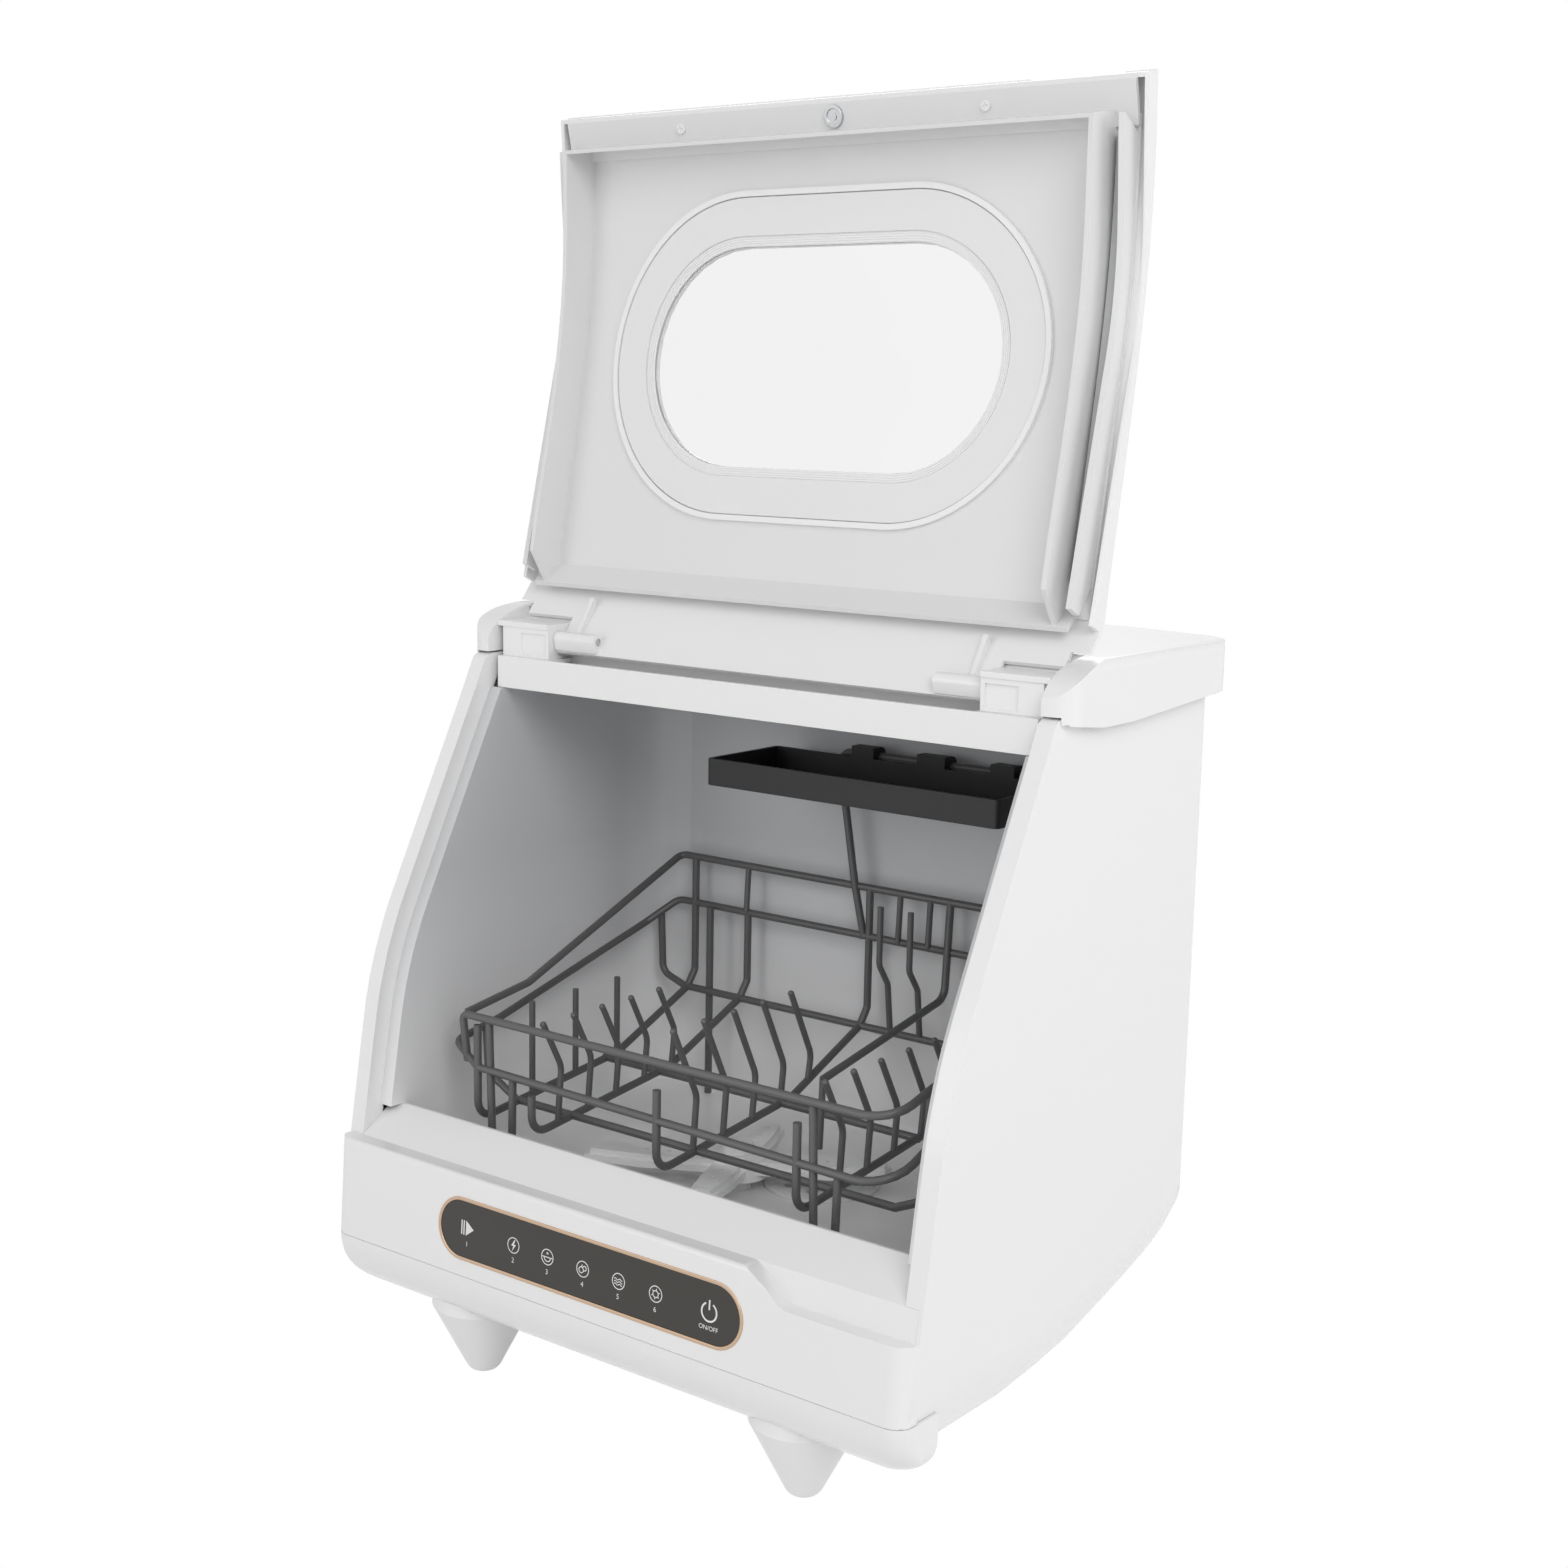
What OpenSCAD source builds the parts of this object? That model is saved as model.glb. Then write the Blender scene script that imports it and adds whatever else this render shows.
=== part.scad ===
// Free-standing countertop dishwasher with a lift-up curved lid.
// Millimetres. X to the right, Y to the rear, Z up. The lid is drawn open.

/* [Housing] */
// Outer width over the side walls
body_width = 430; // [400:1:460]
// Wall thickness of the housing mouldings
wall = 2.5; // [2:0.5:4]
// Half width of the wash tub opening
tub_half = 194.6; // [180:0.2:196]
// Height of the wash tub floor
tub_floor = 118; // [110:1:124]
// Height of the inside of the wash tub ceiling
tub_top = 432; // [420:1:436]
// Depth of the inside of the tub rear wall
tub_rear = 283; // [270:1:285]

/* [Lid] */
// Opening angle drawn
lid_open = 166.6; // [0:0.1:166.6]
// Half width of the lid
lid_half = 210.7; // [205:0.1:212]
// Thickness of the lid shell
lid_wall = 2.5; // [2:0.5:4]
// Half length of the straight part of the window
window_half = 61; // [40:1:70]
// End radius of the clear window
window_r = 66; // [50:1:72]

/* [Rack] */
// Radius of the frame wires
rail_r = 2.5; // [2:0.1:3]
// Radius of the tines
tine_r = 2.0; // [1.5:0.1:2.5]
// Height of the tips of the plate tines
tine_top = 230; // [220:1:240]

/* [Feet] */
// Largest radius of a foot cone
foot_r = 32.5; // [28:0.5:34]

/* [Hidden] */
$fn = 64;
HW = body_width/2;
// hinge axis: depth and height
H = [144, 441];
pin_r = 2.5;
run = 0.05;
DY = -157.5;
R0 = 262.6;
CC = [286.8, 166.6];
A1 = 153.24;
A2 = 170.57;
N1 = [cos(A1), sin(A1)];
N2 = [cos(A2), sin(A2)];
U1 = [sin(180-A1), cos(180-A1)];
U2 = [sin(180-A2), cos(180-A2)];
hub = [-6, 140];
well = [30, 178];
cover_half = 222;

function unit(v) = v/norm(v);
function fil(a, b, c, r, n) =
  let(u = unit(a-b), v = unit(c-b), h = acos(max(-1, min(1, u*v)))/2,
      q = b + unit(u+v)*r/sin(h), s = b + u*r/tan(h), e = b + v*r/tan(h),
      a0 = atan2(s[1]-q[1], s[0]-q[0]), d0 = atan2(e[1]-q[1], e[0]-q[0])-a0,
      d = d0 > 180 ? d0-360 : d0 < -180 ? d0+360 : d0)
  [for (i = [0:n]) q + r*[cos(a0+d*i/n), sin(a0+d*i/n)]];
function rp(P, R, n = 5) = let(m = len(P)) [for (i = [0:m-1])
  each (R[i] <= 0 ? [P[i]] : fil(P[(i+m-1)%m], P[i], P[(i+1)%m], R[i], n))];
// front curve of the side panels, shifted outwards by d, from height zb to zt
function fc(d, zb, zt, n = 8) =
  let(t1 = CC+(R0+d)*N1, t2 = CC+(R0+d)*N2)
  concat([t2-U2*((t2[1]-zb)/U2[1])],
         [for (i = [0:n]) CC+(R0+d)*[cos(A2+(A1-A2)*i/n), sin(A2+(A1-A2)*i/n)]],
         [t1+U1*((zt-t1[1])/U1[1])]);
function rev(P) = [for (i = [len(P)-1:-1:0]) P[i]];
function cat(P, t, i) =
  let(m = len(P)-1, a = P[max(i-1, 0)], b = P[i], c = P[min(i+1, m)], d = P[min(i+2, m)])
  0.5*(2*b+(c-a)*t+(2*a-5*b+4*c-d)*t*t+(3*b-a-3*c+d)*t*t*t);
function smooth(P, n) = concat([for (i = [0:len(P)-2]) for (k = [0:n-1]) cat(P, k/n, i)], [P[len(P)-1]]);
function nrm(P, i) = let(m = len(P)-1, t = unit(P[min(i+1, m)]-P[max(i-1, 0)])) [t[1], -t[0]];
function offs(P, d) = [for (i = [0:len(P)-1]) P[i]+nrm(P, i)*d];
function opened(p) = let(d = p-H) H+[d[0]*cos(lid_open)+d[1]*sin(lid_open), -d[0]*sin(lid_open)+d[1]*cos(lid_open)];
function stad(r, h, n = 16) = concat(
  [for (i = [0:n]) [h+r*cos(-90+180*i/n), r*sin(-90+180*i/n)]],
  [for (i = [0:n]) [-h+r*cos(90+180*i/n), r*sin(90+180*i/n)]]);

module placed() { translate([0, DY, 0]) children(); }
module xp(P, x0, x1) { translate([x0, 0, 0]) rotate([90, 0, 90]) linear_extrude(x1-x0) polygon(P); }
module yp(P, y0, y1) { translate([0, y1, 0]) rotate([90, 0, 0]) linear_extrude(y1-y0) polygon(P); }
module zp(P, z0, z1) { translate([0, 0, z0]) linear_extrude(z1-z0) polygon(P); }
module bx(x0, x1, y0, y1, z0, z1) { translate([x0, y0, z0]) cube([x1-x0, y1-y0, z1-z0]); }
module sides() { children(); mirror([1, 0, 0]) children(); }
module cx(r, x0, x1, y, z) { translate([x0, y, z]) rotate([0, 90, 0]) cylinder(r = r, h = x1-x0); }
module cy(r, x, y0, y1, z) { translate([x, y0, z]) rotate([-90, 0, 0]) cylinder(r = r, h = y1-y0); }
module cz(r, x, y, z0, z1) { translate([x, y, z0]) cylinder(r = r, h = z1-z0); }

// ---- housing -------------------------------------------------------------
belly = [[33, 43], [117, 43], [150, 46.3], [182, 51], [225, 62], [255, 70.2], [270, 75], [285, 81.5], [294, 88], [299.5, 97], [303, 112]];
function ring(y, b, w, rx, rz) = concat(
  [for (i = [0:8]) [-w+rx-rx*cos(90*i/8), y, b+rz-rz*sin(90*i/8)]],
  [for (i = [0:8]) [w-rx+rx*sin(90*i/8), y, b+rz-rz*cos(90*i/8)]],
  [[w, y, 470], [-w, y, 470]]);
module loft(d, y0, y1) {
  B = [for (i = [0:len(belly)-1]) [i == 0 ? y0 : i == len(belly)-1 ? y1 : belly[i][0], belly[i][1]+d]];
  n = 20;
  m = len(B);
  pts = [for (b = B) each ring(b[0], b[1], HW-d, 40-d, 50-d)];
  polyhedron(pts, concat(
    [[for (k = [n-1:-1:0]) k]],
    [for (i = [0:m-2]) for (k = [0:n-1]) [i*n+k, i*n+(k+1)%n, (i+1)*n+(k+1)%n, (i+1)*n+k]],
    [[for (k = [0:n-1]) (m-1)*n+k]]), convexity = 6);
}
function plan(w, y0, y1, r) = rp([[-w, y0], [w, y0], [w, y1], [-w, y1]], [0, 0, r, r], 6);
module shell_side(d, zt, yf, zf) {
  // outline seen from the side: straight behind the chin, then the front curve
  F = fc(-d, zf, zt-20);
  xp(concat([[yf, 30], [yf, zf]], F, rp([F[len(F)-1], [F[len(F)-1][0]+9, zt-1], [150, zt]], [0, 8, 0]), [[150, 470], [330, 470], [330, 30]]), -300, 300);
}
module body_shell() {
  color("white") difference() {
    intersection() { loft(0, -5, 306); shell_side(0, 430, 33, 78.4); zp(plan(HW, -10, 303, 15), 20, 446); }
    intersection() { loft(wall, -10, 305); shell_side(wall, 427, 3, 60); zp(plan(HW-wall, -10, 303-wall, 12.5), 20, 470); difference() { bx(-300, 300, -50, 400, 0, 500); sides() xp(concat(fc(20, 139, 432), rev(fc(-14.5, 139, 432))), 204, 206.5); } }
    bx(-204, 204, -20, 200, 100, 480);
    bx(-212.5, 212.5, -20, 25, 60, 138.8);
    // passages through the rear wall
    bx(-150, -70, 290, 310, 386, 420);
    cy(9, -150, 290, 310, 150); cy(8, -105, 290, 310, 150); cy(6, 150, 290, 310, 150);
  }
}
chin_yz = rp([[0, 78.4], [0, 43], [33, 43], [33, 78.4]], [0, 32.9, 0, 0], 8);
function chin_xz(w, b, r) = rp([[-w, b], [w, b], [w, 78.4], [-w, 78.4]], [r, r, 0, 0], 8);
module chin_solid() { intersection() { xp(chin_yz, -HW, HW); yp(chin_xz(HW, 43, 30), -5, 40); } }
module base_tray() {
  color("white") difference() {
    chin_solid();
    intersection() { xp(rp([[2.5, 80], [2.5, 45.5], [40, 45.5], [40, 80]], [0, 30.4, 0, 0], 8), -300, 300); yp(chin_xz(HW-wall, 45.5, 27.5), -5, 60); }
    bx(-212.5, 212.5, 2.5, 60, 78, 90);
  }
}
// proud front panel with a lowered right-hand part
top_l = [[-HW, 78.4], [HW, 78.4], [HW, 121.5], [134, 121.5], [124, 130], [109, 138.8], [-HW, 138.8]];
module panel_face(d) { yp(rp([top_l[0], top_l[1], top_l[2]-[0, d], top_l[3]-[0, d], top_l[4]-[0, d], top_l[5]-[0, d], top_l[6]-[0, d]], [0, 0, 2, 12, 0, 14, 2], 5), -5, 20); }
module front_panel() {
  L = fc(0, 78.4, 160);
  color("white") difference() {
    union() {
      difference() {
        intersection() {
          panel_face(0);
          xp(concat(rp([[0, 78.4], [4.1, 138.8], L[0]+U2*61.2], [0, 3, 0]), [L[0]]), -HW, HW);
        }
        intersection() { panel_face(wall); xp([[2.5, 70], [6.5, 136.3], [40, 136.3], [40, 70]], -HW+wall, HW-wall); }
      }
      // upright face behind the lowered part, and the ledge up to the tub lip
      xp([L[0]+U2*40-[0.3, 0], L[0]+U2*61.2-[0.3, 0], [40.8, 154.5], [40.8, 151.5], [19, 137.2], [16.5, 119]], -203.9, 203.9);
      sides() xp([L[0]+U2*40-[0.3, 0], L[0]+U2*61.2-[0.3, 0], [18.5, 138.6], [16, 119]], 203.5, HW-wall);
    }
    on_face(-20, 10) polygon(stad(19, 97));
  }
}
module on_face(z0, z1) { translate([-6, 1.94, 107]) rotate([86.12, 0, 0]) translate([0, 0, z0]) linear_extrude(z1-z0) children(); }
module touch_lens() { color([0.2, 0.2, 0.2]) on_face(-2.4, 0) polygon(stad(16.9, 97)); }
module trim_ring() {
  color([0.75, 0.62, 0.5]) on_face(-4, 0.6) difference() { polygon(stad(19, 97)); polygon(stad(16.9, 97)); }
}
module control_board() {
  color("green") {
    on_face(-7, -5.4) square([212, 30], center = true);
    on_face(-5.4, -2.4) { translate([84, -3]) square([5, 6]); translate([-89, -3]) square([5, 6]); }
    on_face(-9, -7) { translate([-60, -10]) square([20, 18]); translate([20, -6]) square([34, 12]); }
  }
}
module lid_sensor() { color("dimgray") xp([[19, 137.2], [29, 143.76], [29, 132], [19, 132]], 1, 11); }
module tub() {
  side = fc(-12, 154.5, tub_top+2.2);
  color("white") difference() {
    union() {
      intersection() {
        xp(concat([[40.8, tub_floor-2], [40.8, 154.5]], side, [[tub_rear+2.2, tub_top+2.2], [tub_rear+2.2, tub_floor-2]]), -tub_half-2.2, tub_half+2.2);
        zp(plan(tub_half+2.2, -50, tub_rear+2.2, 42.2), 50, 500);
      }
      sides() xp(concat(fc(-12, 154.5, 407.8), rev(fc(-14.5, 154.5, 407.8))), tub_half, 204);
    }
    intersection() {
      xp(rp([[43, tub_floor], [tub_rear, tub_floor], [tub_rear, tub_top], [-80, tub_top], [-80, 154.5], [43, 154.5]], [10, 14, 10, 0, 0, 0]), -tub_half, tub_half);
      zp(plan(tub_half, -90, tub_rear, 40), 50, 500);
    }
    bx(-230, 230, 60, 158, 407.8, 450);
    cz(36, well[0], well[1], 100, 140);
    cz(9, hub[0], hub[1], 100, 140);
    cz(15, -130, 230, 425, 440);
  }
}
module header_beam() {
  color("white") {
    bx(-200, 200, 130.3, 132.8, 408, 428);
    bx(-200, 200, 132.8, 158, 408, 410.5);
    bx(-158, 158, 155.5, 158, 410.5, 434.2);
    // box sections at both ends that carry the hinge brackets
    sides() { bx(158, 200, 132.8, 156, 425.5, 428); bx(158, 200, 155.5, 158, 410.5, 425.5); bx(197.5, 200, 132.8, 156, 410.5, 425.5); }
  }
}
function cover_xz(d, zb) = rp([[-cover_half+d, zb], [cover_half-d, zb], [cover_half-d, 459-d], [150, 460.6-d], [-150, 460.6-d], [-cover_half+d, 459-d]], [0, 0, 6-d, 0, 0, 6-d], 4);
module top_cover() {
  a = opened([104.8, 419]);
  b = opened([146.8, 450]);
  s = unit(a-b);
  q = b+[s[1], -s[0]]*0.5;
  f1 = q+s*((462-q[1])/s[1]);
  f0 = q+s*((448.5-q[1])/s[1]);
  color("white") { sides() for (y = [180, 230, 280]) bx(cover_half-11, cover_half-2, y, y+3, 446, 458);
  difference() {
    intersection() {
      yp(cover_xz(0, 400), 100, 315);
      xp(rp([[126, 426.5], [162.6, 422.5], [195.4, 422.7], [242.9, 425.8], [281.7, 428.4], [315, 430.2], [315, 464], [126, 464]], [0, 0, 0, 0, 0, 0, 0, 0]), -230, 230);
      zp(rp([[-cover_half, 126], [cover_half, 126], [cover_half, 315], [-cover_half, 315]], [7, 7, 20, 20]), 400, 470);
    }
    difference() {
      intersection() {
        yp(cover_xz(wall, 390), 128.5, 312.5);
        zp(rp([[-cover_half+wall, 128.5], [cover_half-wall, 128.5], [cover_half-wall, 312.5], [-cover_half+wall, 312.5]], [4.5, 4.5, 17.5, 17.5]), 390, 470);
      }
      xp([f0, f1, f1+[2.8, 0], f0+[2.8, 0], [160.8, 440], [158, 440]], -206.5, 206.5);
      sides() bx(204, 206.5, 110, 163, 430.5, 470);
    }
    bx(-219.5, 219.5, 120, 128.5, 420, 430.5);
    xp([[100, 400], [158, 400], [158, 440], f0, f1, [f1[0], 480], [100, 480]], -204, 204);
  } }
}
module hinge_bracket() {
  difference() {
    union() {
      bx(160.3, 200, 135, 156, 428, 450);
      bx(160.3, 203.8, 134, 158, 446.5, 450);
      bx(163, 197, 156, 158, 430, 446.5);
    }
    bx(163, 184, 134, 136.6, 430, 443.4);
    cx(pin_r, 155, 190, H[0], H[1]);
  }
}
module hinge_bracket_right() { color("white") hinge_bracket(); }
module hinge_bracket_left() { color("white") mirror([1, 0, 0]) hinge_bracket(); }
module hinge_pin_right() { color("silver") cx(pin_r, 127, 190, H[0], H[1]); }
module hinge_pin_left() { color("silver") mirror([1, 0, 0]) cx(pin_r, 127, 190, H[0], H[1]); }
module foot(x, y) {
  difference() {
    translate([x, y, 0]) rotate_extrude() polygon(rp([[0, 0], [8.5, 0], [foot_r-1, 44.5], [foot_r-6.5, 80], [0, 80]], [0, 8, 0, 0, 0], 6));
    loft(0, 33, 306);
    chin_solid();
    bx(-HW, HW, 0, 40, 60, 90);
  }
}
module foot_front_right() { color("whitesmoke") foot(123.7, 40.5); }
module foot_front_left() { color("whitesmoke") foot(-123.7, 40.5); }
module foot_rear_right() { color("whitesmoke") foot(123.7, 222); }
module foot_rear_left() { color("whitesmoke") foot(-123.7, 222); }

// ---- wash gear under the tub ----------------------------------------------
module sump() {
  color("gainsboro") difference() {
    union() { cz(38, well[0], well[1], 76, 116); cz(44, well[0], well[1], 113, 116); }
    cz(36, well[0], well[1], 84, 120);
    cy(9, well[0], 100, well[1], 97);
    cx(7, well[0], 80, well[1], 95);
    cz(9.2, hub[0], hub[1], 70, 130);
  }
}
module filter_cup() {
  color("lightgray") difference() {
    union() { cz(35.92, well[0], well[1], 118, 120); cz(33, well[0], well[1], 88, 118); bx(well[0]-16, well[0]+16, well[1]-2.5, well[1]+2.5, 120, 128); }
    cz(31.4, well[0], well[1], 90, 117);
    for (a = [22.5:45:340]) translate([well[0], well[1], 0]) rotate(a) { translate([22, 0, 110]) cylinder(r = 4, h = 20); translate([28, 0, 103]) rotate([0, 90, 0]) cylinder(r = 5, h = 9); }
  }
}
module spray_shaft() {
  color("gainsboro") { cz(9, hub[0], hub[1], 96, 124); cz(6, hub[0], hub[1], 124, 143); }
}
module blade(a, l, w0, w1) {
  translate([hub[0], hub[1], 0]) rotate(a) {
    zp([[0, -w0], [l*0.6, -w0], [l, -w1], [l, w1], [l*0.6, w0], [0, w0]], 130, 134);
    zp([[0, 2.5-w0], [l*0.6-2, 2.5-w0], [l-3, 2-w1], [l-3, w1-2], [l*0.6-2, w0-2.5], [0, w0-2.5]], 134, 137.5);
  }
}
module spray_arm() {
  color("whitesmoke") difference() {
    union() {
      blade(-151, 94, 13, 7); blade(29, 94, 13, 7); blade(-71, 66, 11, 8); blade(109, 66, 11, 8);
      cz(19, hub[0], hub[1], 126, 140);
    }
    cz(6+run, hub[0], hub[1], 120, 150);
    for (a = [-151, 29, -71, 109]) translate([hub[0], hub[1], 0]) rotate(a) for (r = [28, 42, 56]) translate([r, 0, 132]) cylinder(r = 1.6, h = 10);
  }
}
module hub_nut() { color("lightgray") difference() { union() { cz(10, hub[0], hub[1], 140, 146); } cz(6+run, hub[0], hub[1], 139, 144); } }
module wash_pump() {
  color("dimgray") difference() {
    union() { cy(31, 110, 104, 128, 84); cy(27, 110, 128, 196, 84); cx(8.5, 40, 90, 116, 107); xp([[134, 47.2], [150, 48.8], [182, 53.5], [182, 64], [134, 64]], 92, 128); cy(12, 110, 92, 104, 84); }
    cy(27, 110, 107, 125, 84);
    cy(9, 110, 80, 110, 84);
    cx(6.5, 30, 92, 116, 107);
    cy(3+run, 110, 120, 180, 84);
  }
}
module pump_impeller() {
  color("black") {
    cy(3, 110, 112, 176, 84);
    cy(24, 110, 120, 123, 84);
    difference() { for (a = [0:60:300]) translate([110, 112, 84]) rotate([-90, 0, 0]) rotate(a) translate([4, -1, 0]) cube([18, 2, 8]); cy(3, 110, 100, 112, 84); }
    cy(7, 110, 112, 120, 84);
  }
}
module drain_pump() {
  color("dimgray") difference() {
    union() { cx(17, 76, 96, 216, 82); cx(14, 96, 130, 216, 82); cy(6, 86, 224, 246, 92); xp([[206, 59.64], [225, 64.5], [225, 74], [206, 74]], 98, 122); }
    cx(14, 79, 93, 216, 82);
    cy(4, 86, 216, 250, 92);
  }
}
module heater() {
  color("silver") difference() {
    union() { cx(15, -44, 36, 104, 84); cx(17, -44, -38, 104, 84); cx(17, 30, 36, 104, 84); cz(2.5, -30, 104, 98, 106); cz(2.5, -18, 104, 98, 106); bx(-43, -39, 98, 110, 45.5, 70); bx(31, 35, 98, 110, 45.5, 70); }
    cx(12.5, -46, 33, 104, 84);
  }
}
module wash_hose() { color("gray") tube(p3([[40, 116, 107], [-6, 116, 107], [-6, 131.15, 107]], 7, 5), 8, Z, 16); }
module drain_hose() { color("gray") tube(p3([[86, 246, 92], [86, 262, 94], [20, 286, 104], [-60, 292.8, 106], [-105, 292.8, 112], [-105, 292.8, 150], [-105, 299, 150]], 5.8, 5), 5, [-0.5, -0.6, 0.62], 12); }
module inlet_hose() { color("gray") tube(p3([[-140, 190, 92], [-140, 225, 92], [-150, 262, 100], [-150, 292.8, 108], [-150, 292.8, 150], [-150, 299, 150]], 5.8, 5), 5, X, 12); }
module water_tank() {
  color("aliceblue") difference() {
    union() { xp(rp([[55, 58], [185, 62], [185, 112], [55, 112]], [6, 6, 6, 6]), -190, -60); cy(9, -140, 180, 190, 92); }
    xp(rp([[57, 60], [183, 64], [183, 110], [57, 110]], [4, 4, 4, 4]), -188, -62);
    cy(6, -140, 170, 200, 92);
  }
}
module power_board() {
  color("green") { bx(70, 176, 40, 84, 62, 63.6); bx(80, 100, 46, 62, 63.6, 84); bx(112, 134, 50, 76, 63.6, 80); bx(146, 166, 46, 58, 63.6, 76); for (x = [74, 168]) for (y = [44, 78]) bx(x, x+4, y, y+3, 45.5, 62); }
}
module fan_housing() {
  color("dimgray") difference() {
    bx(-160, -100, 200, 260, 434.2, 450);
    cz(27, -130, 230, 436, 460);
    cz(15, -130, 230, 430, 440);
    sides() bx(104, 156, 258, 262, 438, 448);
  }
  color("dimgray") difference() { bx(-159, -101, 227, 233, 448, 450); cz(2+run, -130, 230, 440, 449.2); }
}
module fan_impeller() {
  color("black") { cz(7, -130, 230, 439, 446); cz(2, -130, 230, 446, 449); difference() { for (a = [0:45:315]) translate([-130, 230, 439.5]) rotate(a) translate([5, -1, 0]) cube([20, 2, 6]); cz(6, -130, 230, 430, 450); } }
}
module air_duct() { color("gray") difference() { bx(-158, -102, 260, 300.5, 436, 450); bx(-156, -104, 250, 310, 438, 448); bx(-150, -110, 285, 310, 430, 448); } }
module rear_grille() {
  color("lightgray") difference() { bx(-150, -70, 300, 304.5, 386, 420); for (z = [391:6:415]) bx(-145, -75, 290, 310, z, z+2.6); }
}
module drain_outlet() { color("gray") difference() { union() { cy(8, -105, 299, 303, 150); cy(12, -105, 303, 306, 150); cy(9, -105, 306, 314, 150); } cy(6, -105, 310, 320, 150); cy(4.5, -105, 280, 302, 150); } }
module water_inlet() { color("steelblue") difference() { union() { cy(9, -150, 299, 303, 150); cy(14, -150, 303, 306, 150); cy(11, -150, 306, 314, 150); } cy(7.5, -150, 308, 320, 150); cy(4.5, -150, 280, 302, 150); } }
module cable_gland() { color("black") difference() { union() { cy(6, 150, 298, 303, 150); cy(9, 150, 303, 312, 150); } cy(3.2, 150, 290, 320, 150); } }

// ---- lid, drawn closed and swung open ---------------------------------------
inner_half = 203.6;
outer = concat([[5.6, 139.4]], smooth([[6.4, 143.2], [14.5, 183.5], [27.9, 231.2], [45.1, 278.5], [64.7, 325.2], [80.2, 360.6], [95.8, 396]], 4), fil([95.8, 396], [103.5, 415.5], [146.8, 450], 20, 5), [[146.8, 450]]);
rim = smooth([[40.5, 158], [54, 215.7], [64.5, 250], [78.9, 286.9], [97.8, 328.6], [115.3, 364.6], [126.5, 390]], 3);
function upto(P, z) = [for (p = P) if (p[1] < z) p];
module swung() {
  difference() {
    translate([0, H[0], H[1]]) rotate([-lid_open, 0, 0]) translate([0, -H[0], -H[1]]) children();
    sides() { cx(18.4, 160.1, 200.3, H[0], H[1]); bx(199, 230, 90, 240, 380, 460.9); }
  }
}
module skin(a, b, x) { xp(concat(offs(outer, a), rev(offs(outer, b))), -x, x); }
module at_window(z0, z1) { translate([0, 50.9, 283.3]) rotate([68.2, 0, 0]) translate([0, 0, z0]) linear_extrude(z1-z0) children(); }
module lid_shell() {
  seat = fc(0.4, 141.9, 412);
  color("white") swung() difference() {
    union() {
      skin(0, lid_wall, lid_half);
      sides() xp(concat([[5.6, 139.4]], upto(outer, 420), rev(seat), [[15.5, 139.4]]), lid_half-2.5, lid_half);
      xp([[5.6, 139.4], [15.5, 139.4], [15.5, 141.9], [6.2, 141.9]], -lid_half, lid_half);
      xp([[5.8, 139.5], [15.4, 139.5], [17.6, 140.9], [17.6, 141.9], [6.2, 141.9]], -inner_half, inner_half);
      sides() { cx(4.7, 126, 160, H[0], H[1]); xp([[139.3, 441], [148.7, 441], [148.7, 447], [143, 445.5]], 126, 160); xp([[119.5, 428], [122, 420], [140, 438], [144, 445.6], [143, 446.5]], 145, 148); }
    }
    at_window(-30, 30) polygon(stad(window_r, window_half));
    sides() cx(pin_r+run, 120, 163, H[0], H[1]);
    xp([[0, 130], [0, 143], [12, 143], [12, 130]], 133, 193);
  }
}
module lid_liner() {
  a = offs(outer, lid_wall);
  b = offs(outer, 4.5);
  c = offs(outer, 3.6);
  function cut(P, lo, hi) = [for (p = P) if (p[1] > lo && p[1] < hi) p];
  color("whitesmoke") swung() difference() {
    union() {
      // floor, flange with the catch, lower wall, upper flange
      xp(concat(cut(a, 160, 414), rev(cut(b, 158, 413))), -inner_half, inner_half);
      xp([[15.1, 141.9], [17.6, 141.9], [17.6, 166], [13.9, 166], [12.8, 160.5], [15.1, 160]], -inner_half, inner_half);
      xp([[16, 157.2], [40.5, 155.8], [40.5, 158], [16, 159.6]], -189.9, 189.9);
      xp([[104.1, 408.3], [103.7, 405], [120, 412.8], [119.4, 415.6]], -197, 197);
      // deep side walls and the ribs outside them
      sides() xp(concat([[16, 158.2]], cut(c, 163, 400), [[104.5, 407.5], [118.5, 413.6]], rev(rim), [[40.5, 156.6]]), 187, 190);
      sides() xp(concat(cut(c, 163, 398), [[115.5, 407]], rev(fc(-10.6, 157.4, 401))), 199, 202.6);
    }
    at_window(-30, 30) polygon(stad(86, window_half));
  }
}
module sheet(a, b, r, ri) { intersection() { skin(a, b, 200); at_window(-40, 40) difference() { polygon(stad(r, window_half)); if (ri > 0) polygon(stad(ri, window_half)); } } }
module lid_window() { color([0.85, 0.9, 0.95, 0.4]) swung() sheet(2.5, 4.5, 84, 0); }
module window_gasket() { color("gray") swung() sheet(2.5, 4.5, 86, 84); }
module window_ring() { color("gainsboro") swung() sheet(4.5, 6.7, 96, 72.5); }
module lid_seal() {
  f = [for (p = offs(outer, 4.5)) if (p[1] > 166 && p[1] < 396) p];
  g = [for (p = offs(outer, 9)) if (p[1] > 166 && p[1] < 398) p];
  color("silver") swung() sides() xp(concat(f, rev(g)), 191.5, 196.5);
}
module catch_disc() { color("silver") swung() difference() { cy(6.5, 6, 17.6, 19.2, 149.5); cy(2.2, 6, 18.6, 21, 149.5); } }
module lid_screws() { color("silver") swung() sides() cy(3, 110, 17.6, 19.2, 150); }

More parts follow.
